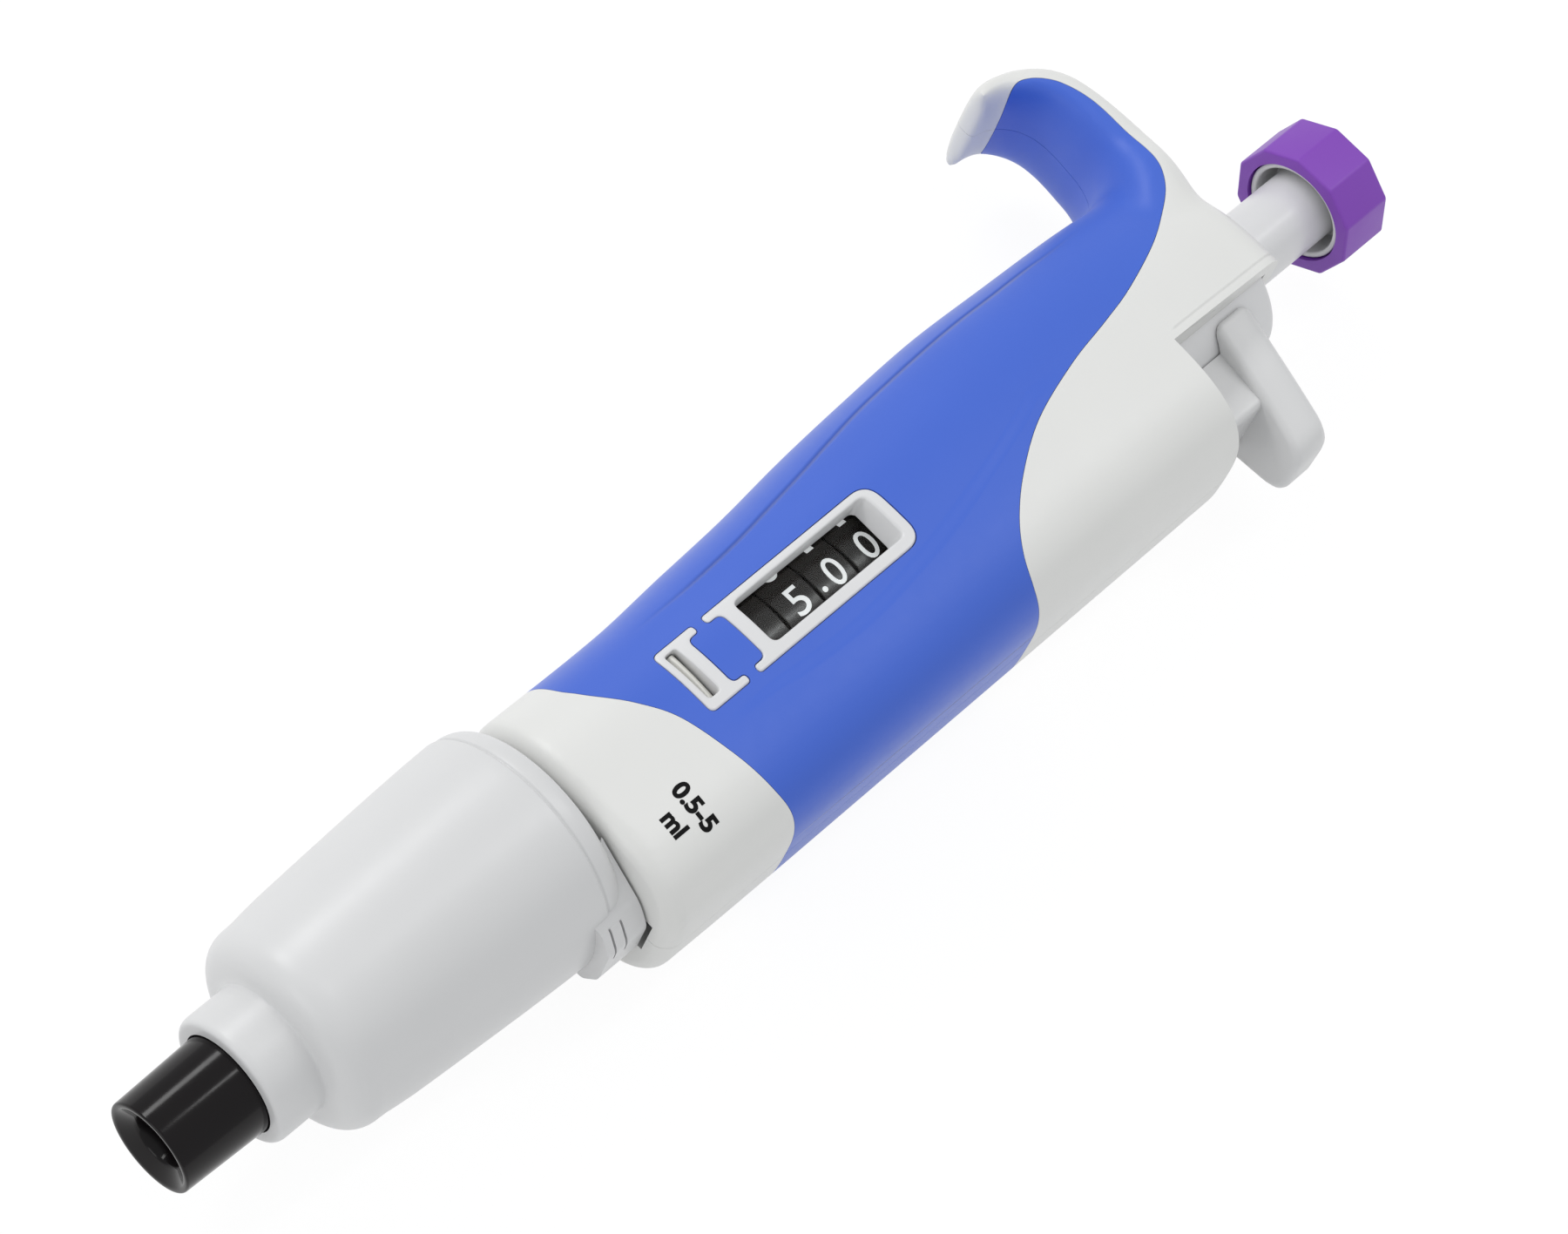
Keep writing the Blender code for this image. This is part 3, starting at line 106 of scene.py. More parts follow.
# Finger hook: outer point, inner point and half width of each section, from the handle to the beak
HOOK_SECTIONS = (
    ((207.4, -2.0), (188.0, 7.0), 13.6),
    ((208.6, 6.5), (192.8, 12.0), 14.0),
    ((210.0, 14.0), (198.0, 17.0), 13.4),
    ((210.7, 21.0), (200.9, 21.5), 11.6),
    ((210.5, 26.5), (201.8, 26.5), 11.2),
    ((210.0, 31.0), (202.0, 30.8), 10.9),
    ((209.0, 35.0), (201.4, 33.8), 10.6),
    ((206.6, 38.6), (199.9, 36.2), 10.2),
    ((202.6, 41.4), (197.7, 37.9), 9.6),
    ((197.8, 42.6), (195.8, 38.5), 9.6),
    ((195.2, 42.2), (194.5, 38.7), 9.7),
    ((194.2, 41.4), (194.1, 39.2), 9.5),
)

# Where the skin is smoothed at the hook's root: strength, then middle and reach along x and along y
BLENDS = ((1.0, (196.5, 9.5), (16.5, 9.5)), (0.6, (204.5, 6.0), (9.0, 8.0)))

# Soft grip: its two edges seen from the front, past the handle where it wraps round
GRIP_LOWER_EDGE = (
    (78.1, 30.0), (78.1, 13.1), (79.5, 7.8), (83.4, 1.8), (86.4, -3.8), (88.4, -12.1), (89.7, -18.5),
    (91.0, -23.5), (91.0, -30.0),
)
GRIP_UPPER_EDGE = (
    (139.7, -30.0), (139.6, -24.0), (139.6, -20.1), (140.8, -16.2), (143.9, -12.1), (149.2, -7.8),
    (157.1, -3.4), (167.4, -0.3), (176.4, 1.4), (183.5, 3.0), (193.2, 6.4), (200.4, 10.4),
    (203.9, 14.0), (205.4, 18.0), (206.0, 23.0), (206.1, 29.3), (204.9, 34.1), (202.9, 37.0),
    (200.4, 38.5), (198.2, 37.6), (198.0, 34.5),
)
GRIP_EDGE_MEETING = (185.0, 30.0)
GRIP_DEPTH = 1.3

# Moulded lines on the handle, as (x, y) points seen from the front
GROOVE_LINE = (
    (99.8, 10.1), (106.2, 10.3), (112.9, 10.8), (119.8, 11.7), (126.8, 12.6), (133.9, 13.7),
    (141.2, 14.7), (148.3, 15.2), (155.4, 15.6), (162.5, 15.8), (169.8, 15.7), (177.1, 15.7),
    (181.5, 15.5),
)
LEDGE_UPPER = (
    (98.4, -7.5), (104.6, -7.9), (113.6, -8.3), (120.2, -7.9), (127.0, -7.0), (134.0, -5.7),
    (141.0, -4.2), (148.2, -2.5), (155.8, -0.2), (160.3, 1.1),
)
LEDGE_LOWER = (
    (98.0, -9.3), (104.2, -10.1), (113.2, -10.6), (119.8, -10.4), (126.5, -9.6), (133.5, -8.6),
    (140.4, -7.0), (147.8, -4.9), (155.2, -2.9), (159.7, -1.4),
)
LINE_FADE = 9.0
LIP_FADE = 1.5
LINES_ABOVE = 4.0

# Notch for the ejector lever, with its raised lip
NOTCH_START = 182.3
NOTCH_EDGE = -6.8
LIP_TOP = -5.2
LIP_FLAT = -5.8

# Inside the housing: the rod's channel, its narrower mouth in the front rim, and the round bores
FAR = 300.0
ROD_CHANNEL = ((71.2, -21.6, -7.5), (FAR, -8.9, 7.5))
ROD_MOUTH = ((0.0, -20.4, -3.6), (71.5, -8.9, 3.6))
TUBE_CLEARANCE = 0.3
TUBE_BORE_END = 205.0
SHAFT_HOLE = 6.1

# Counter window and latch window
BEZEL = {"start": 101.5, "end": 130.9, "prong_end": 99.2, "corner": 3.0}
LATCH = {"start": 90.1, "end": 95.3, "prong_end": 97.4, "corner": 1.0}
FRAME_SIDES = (-5.9, 5.2)
PRONG_WIDTH = 1.3
OPENING = (103.8, 129.2, -4.0, 4.0)
OPENING_LEAN = (1.5, 0.3)
LATCH_SLOT = (91.2, 93.3, -4.2, 4.2)
LATCH_LEAN = (0.0, 0.1)
PANE = (103.5, 129.5, -4.3, 4.3)
PANE_HEIGHTS = (11.9, 12.7)
FRAME_FLOOR = 13.0
FRAME_EDGE = 0.35
FRAME_DEPTH = 3.2

# Counter
WHEEL_RADIUS = 10.6
WHEEL_PITCH = 6.8
FIRST_WHEEL = 113.5
WHEELS = (("ones", 5), ("tenths", 0), ("hundredths", 0))
READING_LINE = -0.4
DIGIT_SHIFTS = {"ones": 0.3, "tenths": 0.6, "hundredths": 0.3}
POINT_MARK = (-2.9, -1.2, 0.42)
HUB_RADIUS = 5.0
NARROW_ONE = 0.5
DIGIT_WEIGHT = 0.004
LEGEND_WEIGHT = 0.04

# Turned pieces, and the ejector rod's sockets and slots
ROD_LINE = 17.0
ROD_SOCKET = 2.2
BOSS_SLOTS = (63.8, 61.8)
BOSS_SLOT = 0.35
TUBE_RADIUS = 12.7
TUBE_BORE = 11.2
SHAFT_RADIUS = 5.8
SHOULDER_POWER = 2.3
ROUND_STEPS = 144

# Knob, from its open end to its top
KNOB_LOW = 224.2
KNOB_HIGH = 233.5
KNOB_RADIUS = 10.7
KNOB_EDGE = 0.45

# Ejector lever's pad: how far its outline draws in at each height, and its slant
PAD_SECTIONS = (
    (192.5, 1.1), (192.7, 0.6), (193.1, 0.2), (193.7, 0.0), (197.9, 0.0), (198.8, 0.3), (199.4, 0.85),
    (199.7, 1.4), (199.8, 2.0),
)
PAD_SLANT = 0.11

# Camera, found by fitting the photograph: a long lens from the nozzle's side
TARGET = Vector((116.2, 1.23, 0.0))
CAMERA_TILT = math.radians(28.0)
CAMERA_LEAN = math.radians(11.75)
CAMERA_ROLL = math.radians(39.29)
CAMERA_DISTANCE = 635.4
FLOOR_LEVEL = -0.0002

# Lamps: place, x of the point on the axis that they face, and size in metres
LAMPS = (
    ("key", (60.0, 520.0, 470.0), 110.0, (0.5, 0.12)),
    ("top", (440.0, -60.0, 620.0), 110.0, (0.05, 0.6)),
    ("end", (-420.0, 60.0, 210.0), 60.0, (0.25, 0.25)),
)


def value_at(stations, x):
    """A smooth value through (x, value) stations, held level beyond both ends."""
    if x <= stations[0][0]:
        return stations[0][1]
    if x >= stations[-1][0]:
        return stations[-1][1]
    slopes = [0.0]
    for (x0, v0), _, (x2, v2) in zip(stations, stations[1:], stations[2:]):
        slopes.append((v2 - v0) / (x2 - x0))
    slopes.append(0.0)
    index = max(i for i, station in enumerate(stations) if station[0] <= x)
    (x0, v0), (x1, v1) = stations[index], stations[index + 1]
    span = x1 - x0
    t = (x - x0) / span
    return (
        (2 * t**3 - 3 * t**2 + 1) * v0
        + (t**3 - 2 * t**2 + t) * span * slopes[index]
        + (3 * t**2 - 2 * t**3) * v1
        + (t**3 - t**2) * span * slopes[index + 1]
    )


def smooth_path(points, per_span):
    """Points on a smooth curve through the given points."""
    path = []
    for i in range(len(points) - 1):
        p0 = Vector(points[max(i - 1, 0)])
        p1 = Vector(points[i])
        p2 = Vector(points[i + 1])
        p3 = Vector(points[min(i + 2, len(points) - 1)])
        for step in range(per_span):
            t = step / per_span
            first = (p2 - p0) * t
            second = (2 * p0 - 5 * p1 + 4 * p2 - p3) * t**2
            third = (3 * p1 - p0 - 3 * p2 + p3) * t**3
            path.append((2 * p1 + first + second + third) / 2)
    path.append(Vector(points[-1]))
    return path


def signed_power(value, power):
    return math.copysign(abs(value) ** power, value)


def eased(corners, steps=6):
    """Flat (a, b, ease) corners as a closed outline, each corner rounded over its ease."""
    points = []
    for i, (a, b, ease) in enumerate(corners):
        corner = Vector((a, b))
        if ease <= 0.0:
            points.append(corner)
            continue
        before = Vector(corners[i - 1][:2]) - corner
        after = Vector(corners[(i + 1) % len(corners)][:2]) - corner
        start = corner + before.normalized() * min(ease, before.length * 0.48)
        end = corner + after.normalized() * min(ease, after.length * 0.48)
        for step in range(steps + 1):
            t = step / steps
            points.append(start * (1 - t) ** 2 + corner * 2 * t * (1 - t) + end * t**2)
    return points


def scratch(name, data):
    obj = bpy.data.objects.new(name, data)
    bpy.context.scene.collection.objects.link(obj)
    return obj


def finished(obj):
    """The mesh of a working object with its modifiers applied. The object itself goes."""
    graph = bpy.context.evaluated_depsgraph_get()
    mesh = bpy.data.meshes.new_from_object(obj.evaluated_get(graph))
    bpy.data.objects.remove(obj)
    return mesh


def to_mesh(bm, name="shape"):
    bmesh.ops.recalc_face_normals(bm, faces=bm.faces)
    mesh = bpy.data.meshes.new(name)
    bm.to_mesh(mesh)
    bm.free()
    return mesh


def carved(mesh, keep=(), remove=()):
    """A mesh kept inside each of keep, and with each of remove cut away."""
    obj = scratch("carving", mesh)
    tools = []
    for operation, shapes in (("INTERSECT", keep), ("DIFFERENCE", remove)):
        for shape in shapes:
            tools.append(scratch("carving_tool", shape))
            modifier = obj.modifiers.new("carve", "BOOLEAN")
            modifier.operation = operation
            modifier.solver = "EXACT"
            modifier.object = tools[-1]
    result = finished(obj)
    for tool in tools:
        bpy.data.objects.remove(tool)
    return result


def joined(*meshes):
    """Meshes merged into one solid."""
    obj = scratch("joining", meshes[0])
    tools = [scratch("joining_tool", mesh) for mesh in meshes[1:]]
    for tool in tools:
        modifier = obj.modifiers.new("join", "BOOLEAN")
        modifier.operation = "UNION"
        modifier.solver = "EXACT"
        modifier.object = tool
    result = finished(obj)
    for tool in tools:
        bpy.data.objects.remove(tool)
    return result


def loft_into(bm, rings):
    """Skin rings of equally many points, with a cap at each end."""
    loops = [[bm.verts.new(point) for point in ring] for ring in rings]
    count = len(rings[0])
    for near, far in zip(loops, loops[1:]):
        for i in range(count):
            j = (i + 1) % count
            bm.faces.new((near[i], near[j], far[j], far[i]))
    caps = [bm.faces.new(loops[0]), bm.faces.new(loops[-1])]
    bmesh.ops.triangulate(bm, faces=caps)


def plate(outline, low, high):
    """A flat (x, y) outline with a thickness."""
    bm = bmesh.new()
    loft_into(bm, [[(x, y, z) for x, y in outline] for z in (low, high)])
    return to_mesh(bm)


def box(low, high):
    (x0, y0, z0), (x1, y1, z1) = low, high
    return plate([(x0, y0), (x1, y0), (x1, y1), (x0, y1)], z0, z1)


def turned(profile, steps=None, line=0.0):
    """A solid of revolution from closed or axis-to-axis (x, radius) points, about a line at -line."""
    steps = steps or ROUND_STEPS
    bm = bmesh.new()
    rings = []
    for x, radius in profile:
        if radius < 1e-6:
            rings.append([bm.verts.new((x, -line, 0.0))])
            continue
        ring = []
        for k in range(steps):
            angle = 2 * math.pi * k / steps
            ring.append(bm.verts.new((x, radius * math.cos(angle) - line, radius * math.sin(angle))))
        rings.append(ring)
    closed = all(len(ring) > 1 for ring in rings)
    pairs = list(zip(rings, rings[1:])) + ([(rings[-1], rings[0])] if closed else [])
    for near, far in pairs:
        for k in range(steps):
            j = (k + 1) % steps
            corners = [near[k % len(near)], near[j % len(near)], far[j % len(far)], far[k % len(far)]]
            unique = list(dict.fromkeys(corners))
            if len(unique) > 2:
                bm.faces.new(unique)
    return to_mesh(bm)


def rod(start, end, radius, steps=96, line=0.0):
    """A plain round bar, to cut bores with."""
    return turned([(start, 0.0), (start, radius), (end, radius), (end, 0.0)], steps, line)


def mirrored(side):
    """(y, z, ease) corners of one side, closed by the same corners at -z."""
    return side + [(y, -z, ease) for y, z, ease in reversed(side)]


def sliced(mesh, axis, spacing):
    """Cut a mesh by planes at even spacing along an axis, so that it can bend."""
    bm = bmesh.new()
    bm.from_mesh(mesh)
    values = [vert.co[axis] for vert in bm.verts]
    normal = Vector((0.0, 0.0, 0.0))
    normal[axis] = 1.0
    position = math.ceil(min(values) / spacing) * spacing
    while position < max(values):
        geometry = bm.verts[:] + bm.edges[:] + bm.faces[:]
        bmesh.ops.bisect_plane(bm, geom=geometry, plane_co=normal * position, plane_no=normal, dist=1e-5)
        position += spacing
    bmesh.ops.triangulate(bm, faces=bm.faces)
    return to_mesh(bm)


def reshaped(mesh, change):
    for vert in mesh.vertices:
        vert.co = change(vert.co)
    mesh.update()
    return mesh


def settle(name, mesh, finish, body, replaces=(), crease=38.0):
    """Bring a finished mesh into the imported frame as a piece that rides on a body."""
    mesh.transform(TO_FRAME)
    mesh.materials.clear()
    mesh.materials.append(finish)
    mesh.shade_smooth()
    mesh.set_sharp_from_angle(angle=math.radians(crease))
    mesh.name = name
    piece = scratch(name, mesh)
    if replaces:
        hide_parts(*replaces)
    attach(piece, body)
    return piece


# Finishes


def new_finish(name):
    finish = bpy.data.materials.new(name)
    finish.use_nodes = True
    nodes = finish.node_tree.nodes
    return finish, nodes, finish.node_tree.links, nodes["Principled BSDF"]


def math_node(nodes, links, operation, first, second=None):
    node = nodes.new("ShaderNodeMath")
    node.operation = operation
    for socket, value in zip(node.inputs, (first, second)):
        if isinstance(value, (int, float)):
            socket.default_value = value
        elif value is not None:
            links.new(value, socket)
    return node.outputs[0]


def noise(nodes, links, scale, detail=3.0):
    """Noise on the piece's own coordinates, with its scale in cells to the metre."""
    place = nodes.new("ShaderNodeTexCoord")
    texture = nodes.new("ShaderNodeTexNoise")
    texture.inputs["Scale"].default_value = scale
    texture.inputs["Detail"].default_value = detail
    links.new(place.outputs["Object"], texture.inputs["Vector"])
    return texture.outputs["Fac"]


def mapped(nodes, links, value, low, high, kind="LINEAR", start=0.0, end=1.0):
    node = nodes.new("ShaderNodeMapRange")
    node.interpolation_type = kind
    node.inputs["From Min"].default_value = start
    node.inputs["From Max"].default_value = end
    node.inputs["To Min"].default_value = low
    node.inputs["To Max"].default_value = high
    links.new(value, node.inputs["Value"])
    return node.outputs["Result"]


def tinted(nodes, links, shader, colour, spread, amount):
    """Base colour that drifts a little between a darker and a lighter tone."""
    mix = nodes.new("ShaderNodeMix")
    mix.data_type = "RGBA"
    mix.inputs["A"].default_value = (*[c * (1 - spread) for c in colour], 1.0)
    mix.inputs["B"].default_value = (*[min(c * (1 + spread), 1.0) for c in colour], 1.0)
    links.new(amount, mix.inputs["Factor"])
    links.new(mix.outputs["Result"], shader.inputs["Base Color"])
    return mix.outputs["Result"]


def moulded(name, colour, roughness, grain=0.12, spread=0.02, grain_scale=2600.0):
    """Moulded plastic: a faint drift of tone, uneven sheen and a fine spark-eroded grain."""
    finish, nodes, links, shader = new_finish(name)
    tinted(nodes, links, shader, colour, spread, noise(nodes, links, 55.0))
    sheen = mapped(nodes, links, noise(nodes, links, 420.0), roughness - 0.05, roughness + 0.05)
    links.new(sheen, shader.inputs["Roughness"])
    bump = nodes.new("ShaderNodeBump")
    bump.inputs["Strength"].default_value = grain
    bump.inputs["Distance"].default_value = 0.00005
    links.new(noise(nodes, links, grain_scale, 2.0), bump.inputs["Height"])
    links.new(bump.outputs["Normal"], shader.inputs["Normal"])
    return finish


def attribute_parts(nodes, links, name):
    source = nodes.new("ShaderNodeAttribute")
    source.attribute_name = name
    parts = nodes.new("ShaderNodeSeparateXYZ")
    links.new(source.outputs["Vector"], parts.inputs[0])
    return parts.outputs


def add_moulded_lines(finish, groove_depth, ledge_height):
    """Relief from the lines that mark_lines() wrote on the handle: a groove and a soft ledge. The groove's
    valley also darkens the base colour: painted shade in the groove.
    """
    nodes, links = finish.node_tree.nodes, finish.node_tree.links
    shader = nodes["Principled BSDF"]
    grain = shader.inputs["Normal"].links[0].from_node
    distance, fade, _ = attribute_parts(nodes, links, "groove")
    width = math_node(nodes, links, "DIVIDE", distance, 0.30)
    square = math_node(nodes, links, "MULTIPLY", width, width)
    valley = math_node(nodes, links, "EXPONENT", math_node(nodes, links, "MULTIPLY", square, -1.0))
    valley = math_node(nodes, links, "MULTIPLY", valley, fade)
    drop = math_node(nodes, links, "MULTIPLY", valley, -groove_depth)
    share, ledge_fade, _ = attribute_parts(nodes, links, "ledge")
    rise = mapped(nodes, links, share, 0.0, ledge_height, "SMOOTHSTEP")
    rise = math_node(nodes, links, "MULTIPLY", rise, ledge_fade)
    height = math_node(nodes, links, "ADD", drop, rise)
    relief = nodes.new("ShaderNodeBump")
    relief.inputs["Strength"].default_value = 1.0
    relief.inputs["Distance"].default_value = 1.0
    links.new(height, relief.inputs["Height"])
    links.new(grain.outputs["Normal"], relief.inputs["Normal"])
    links.new(relief.outputs["Normal"], shader.inputs["Normal"])
    # Painted shade: along the groove's valley the base colour is darkened towards a cool grey-blue.
    colour = shader.inputs["Base Color"].links[0].from_socket
    shade = nodes.new("ShaderNodeMix")
    shade.data_type = "RGBA"
    shade.blend_type = "MULTIPLY"
    shade.inputs["B"].default_value = (0.62, 0.62, 0.70, 1.0)
    links.new(valley, shade.inputs["Factor"])
    links.new(colour, shade.inputs["A"])
    links.new(shade.outputs["Result"], shader.inputs["Base Color"])
    return finish


def steel_finish(name, colour, along):
    """Turned steel: fine rings across the axis, or drawn lines along it."""
    finish, nodes, links, shader = new_finish(name)
    shader.inputs["Metallic"].default_value = 1.0
    place = nodes.new("ShaderNodeTexCoord")
    stretch = nodes.new("ShaderNodeMapping")
    stretch.inputs["Scale"].default_value = (60.0, 5000.0, 5000.0) if along else (9000.0, 60.0, 60.0)
    links.new(place.outputs["Object"], stretch.inputs["Vector"])
    lines = nodes.new("ShaderNodeTexNoise")
    lines.inputs["Scale"].default_value = 1.0
    links.new(stretch.outputs["Vector"], lines.inputs["Vector"])
    tinted(nodes, links, shader, colour, 0.06, lines.outputs["Fac"])
    links.new(mapped(nodes, links, lines.outputs["Fac"], 0.2, 0.36), shader.inputs["Roughness"])
    return finish


def clear_finish(name):
    """A thin clear window: seen through, with a reflection that grows at a slant."""
    finish, nodes, links, shader = new_finish(name)
    nodes.remove(shader)
    output = nodes["Material Output"]
    through = nodes.new("ShaderNodeBsdfTransparent")
    through.inputs["Color"].default_value = (0.97, 0.98, 0.98, 1.0)
    gloss = nodes.new("ShaderNodeBsdfGlossy")
    links.new(mapped(nodes, links, noise(nodes, links, 900.0), 0.03, 0.08), gloss.inputs["Roughness"])
    fresnel = nodes.new("ShaderNodeFresnel")
    fresnel.inputs["IOR"].default_value = 1.2
    mix = nodes.new("ShaderNodeMixShader")
    links.new(fresnel.outputs["Fac"], mix.inputs["Fac"])
    links.new(through.outputs["BSDF"], mix.inputs[1])
    links.new(gloss.outputs["BSDF"], mix.inputs[2])
    links.new(mix.outputs["Shader"], output.inputs["Surface"])
    return finish


# Moulded finishes: colour, or the name of a colour setting, then roughness, grain and colour spread
MOULDED = {
    "sleeve_grey": ("sleeve", 0.36, 0.08, 0.02),
    "knob_purple": ("knob", 0.42, 0.18, 0.05),
    "nozzle_black": ("nozzle", 0.15, 0.04, 0.10),
    "wheel_black": ("wheels", 0.24, 0.03, 0.25),
    "piston_white": ((0.78, 0.77, 0.72), 0.34, 0.06, 0.02),
    "seal_rubber": ((0.03, 0.03, 0.03), 0.66, 0.30, 0.15),
    "digit_paint": ("digits", 0.5, 0.10, 0.03),
    "legend_ink": ((0.006, 0.006, 0.006), 0.6, 0.05, 0.2),
}
PLAIN_MOULDED = ((0.74, 0.74, 0.745), 0.30, 0.06, 0.02)
SHADER_SETTINGS = {
    "nozzle_black": {"Specular IOR Level": 0.22},
    "legend_ink": {"Specular IOR Level": 0.1},
    # The digits' finish glows a little (Emission Strength 0.32) on top of their white paint: painted light.
    "digit_paint": {"Emission Color": (1.0, 1.0, 1.0, 1.0), "Emission Strength": 0.32},
    "grip_blue": {"Sheen Weight": 0.22, "Sheen Roughness": 0.4},
}
FINISH_NAMES = {
    "seal_rubber": "seal_rubber_rubber",
    "digit_paint": "digit_paint",
    "legend_ink": "legend_ink",
}
FINISHES = {}


def finish_of(slot):
    """The finish of one material slot, made once from the scene's colours."""
    if slot in FINISHES:
        return FINISHES[slot]
    colours = bpy.context.scene.pipette_colours
    if slot == "housing_white":
        finish = add_moulded_lines(moulded(slot + "_plastic", colours.housing, 0.40), 0.00012, 0.00035)
    elif slot == "grip_blue":
        rubber = moulded(slot + "_rubber", colours.grip, 0.46, 0.22, 0.03, 3200.0)
        finish = add_moulded_lines(rubber, 0.00022, 0.00055)
    elif slot == "steel":
        finish = steel_finish("turned_steel", (0.60, 0.60, 0.61), False)
    elif slot == "lens_clear":
        finish = clear_finish("window_plastic")
    else:
        colour, roughness, grain, spread = MOULDED.get(slot, PLAIN_MOULDED)
        if isinstance(colour, str):
            colour = getattr(colours, colour)
        name = FINISH_NAMES.get(slot, slot + "_plastic")
        finish = moulded(name, colour, roughness, grain, spread)
    for socket, value in SHADER_SETTINGS.get(slot, {}).items():
        finish.node_tree.nodes["Principled BSDF"].inputs[socket].default_value = value
    FINISHES[slot] = finish
    return finish


# Handle


def rim_draw(x, inset):
    """How far the handle draws in near its two rounded ends."""
    draw = 0.0
    for reach, rounding, slant in (
        (x - HANDLE_FRONT - inset, FRONT_ROUND, FRONT_SLANT),
        (HANDLE_TOP - inset - x, TOP_ROUND, 0.0),
    ):
        left = max(rounding - max(reach, 0.0), 0.0)
        arc = rounding - math.sqrt(max(rounding**2 - left**2, 0.0))
        draw += slant * left + (1 - slant) * arc
    return draw


def handle_ring(x, inset, count):
    draw = inset + rim_draw(x, inset)
    hook_edge = value_at(HOOK_SIDE, x) - draw
    lever_edge = draw - LEVER_SIDE
    middle = (hook_edge + lever_edge) / 2
    half = (hook_edge - lever_edge) / 2
    ring = []
    for i in range(count):
        angle = 2 * math.pi * i / count
        power = 2 / (HOOK_SIDE_POWER if math.cos(angle) > 0 else LEVER_SIDE_POWER)
        depth = value_at(FRONT_DEPTH if math.sin(angle) > 0 else BACK_DEPTH, x) - draw
        y = middle + half * signed_power(math.cos(angle), power)
        ring.append(Vector((x, y, depth * signed_power(math.sin(angle), power))))
    return ring


def crown_height(x, y):
    """Height of the handle's front surface over the axis."""
    hook_edge = value_at(HOOK_SIDE, x)
    middle = (hook_edge - LEVER_SIDE) / 2
    half = (hook_edge + LEVER_SIDE) / 2
    share = min(abs(y - middle) / half, 0.999)
    power = HOOK_SIDE_POWER if y > middle else LEVER_SIDE_POWER
    return value_at(FRONT_DEPTH, x) * (1 - share**power) ** (1 / power)


def handle_positions(inset, steps):
    front = HANDLE_FRONT + inset
    top = HANDLE_TOP - inset
    ends = [1 - math.cos(math.pi / 2 * i / 10) for i in range(10)]
    inner = front + FRONT_ROUND
    length = top - TOP_ROUND - inner
    middle = [inner + length * i / steps for i in range(steps + 1)]
    lower = [front + FRONT_ROUND * end for end in ends]
    return lower + middle + [top - TOP_ROUND * end for end in reversed(ends)]


def hook_rings(inset, count, per_span):
    outers = smooth_path([section[0] for section in HOOK_SECTIONS], per_span)
    inners = smooth_path([section[1] for section in HOOK_SECTIONS], per_span)
    widths = smooth_path([(section[2], 0.0) for section in HOOK_SECTIONS], per_span)
    rings = []
    for outer, inner, width in zip(outers, inners, widths):
        across = (outer - inner) / 2
        half = max(across.length - inset, across.length * 0.2)
        direction = across.normalized() * half
        middle = (outer + inner) / 2
        wide = max(width.x - inset, width.x * 0.2)
        ring = []
        for i in range(count):
            angle = 2 * math.pi * i / count
            flat = middle + direction * signed_power(math.cos(angle), 2 / HOOK_POWER)
            ring.append((flat.x, flat.y, wide * signed_power(math.sin(angle), 2 / HOOK_POWER)))
        rings.append(ring)
    return rings


def handle_form(cell):
    """The whole outer form, handle and hook blended into one fine skin."""
    bm = bmesh.new()
    loft_into(bm, [handle_ring(x, 0.0, 160) for x in handle_positions(0.0, 140)])
    loft_into(bm, hook_rings(0.0, 64, 10))
    obj = scratch("form", to_mesh(bm))
    skin = obj.modifiers.new("skin", "REMESH")
    skin.mode = "VOXEL"
    skin.voxel_size = cell
    calm = obj.modifiers.new("calm", "SMOOTH")
    calm.factor = 0.5
    calm.iterations = 6
    skinned = scratch("skinned", finished(obj))
    blend = skinned.vertex_groups.new(name="blend")
    for vert in skinned.data.vertices:
        share = blend_share(vert.co)
        if share > 0.0:
            blend.add([vert.index], share, "REPLACE")
    fillet = skinned.modifiers.new("fillet", "SMOOTH")
    fillet.vertex_group = blend.name
    fillet.factor = 0.5
    fillet.iterations = 160
    return finished(skinned)


def blend_share(point):
    """How much the skin is blended: fullest where the hook leaves the handle, inside and outside."""
    return max(
        strength * hump(point.x, *along) * hump(point.y, *across) for strength, along, across in BLENDS
    )


def hump(value, middle, reach):
    """1 at the middle, falling smoothly to 0 at its reach."""
    share = max(1.0 - abs(value - middle) / reach, 0.0)
    return share * share * (3 - 2 * share)


def inner_forms(inset):
    shapes = []
    for rings in (
        [handle_ring(x, inset, 48) for x in handle_positions(inset, 24)],
        hook_rings(inset, 24, 3),
    ):
        bm = bmesh.new()
        loft_into(bm, rings)
        shapes.append(to_mesh(bm))
    return shapes


def grown(outline, distance):
    """A closed outline moved outwards by distance at each corner."""
    points = [Vector(point) for point in outline]
    following = points[1:] + points[:1]
    area = sum(a.x * b.y - b.x * a.y for a, b in zip(points, following))
    turn = 1.0 if area > 0 else -1.0
    moved = []
    for i, (point, ahead) in enumerate(zip(points, following)):
        before = (point - points[i - 1]).normalized()
        after = (ahead - point).normalized()
        normal_before = Vector((before.y, -before.x)) * turn
        normal_after = Vector((after.y, -after.x)) * turn
        bisector = (normal_before + normal_after).normalized()
        moved.append(point + bisector * (distance / max(bisector.dot(normal_after), 0.3)))
    return moved


def grip_outline():
    lower = smooth_path(GRIP_LOWER_EDGE, 8)
    upper = smooth_path(GRIP_UPPER_EDGE, 8)
    return lower + upper + [Vector(GRIP_EDGE_MEETING)]


def line_position(line, x):
    """y of a moulded line at x, and how much it has faded towards its ends."""
    start, end = line[0][0], line[-1][0]
    reach = min(x - start, end - x)
    fade = min(max((reach + LINE_FADE) / (2 * LINE_FADE), 0.0), 1.0)
    return value_at(line, x), fade * fade * (3 - 2 * fade)


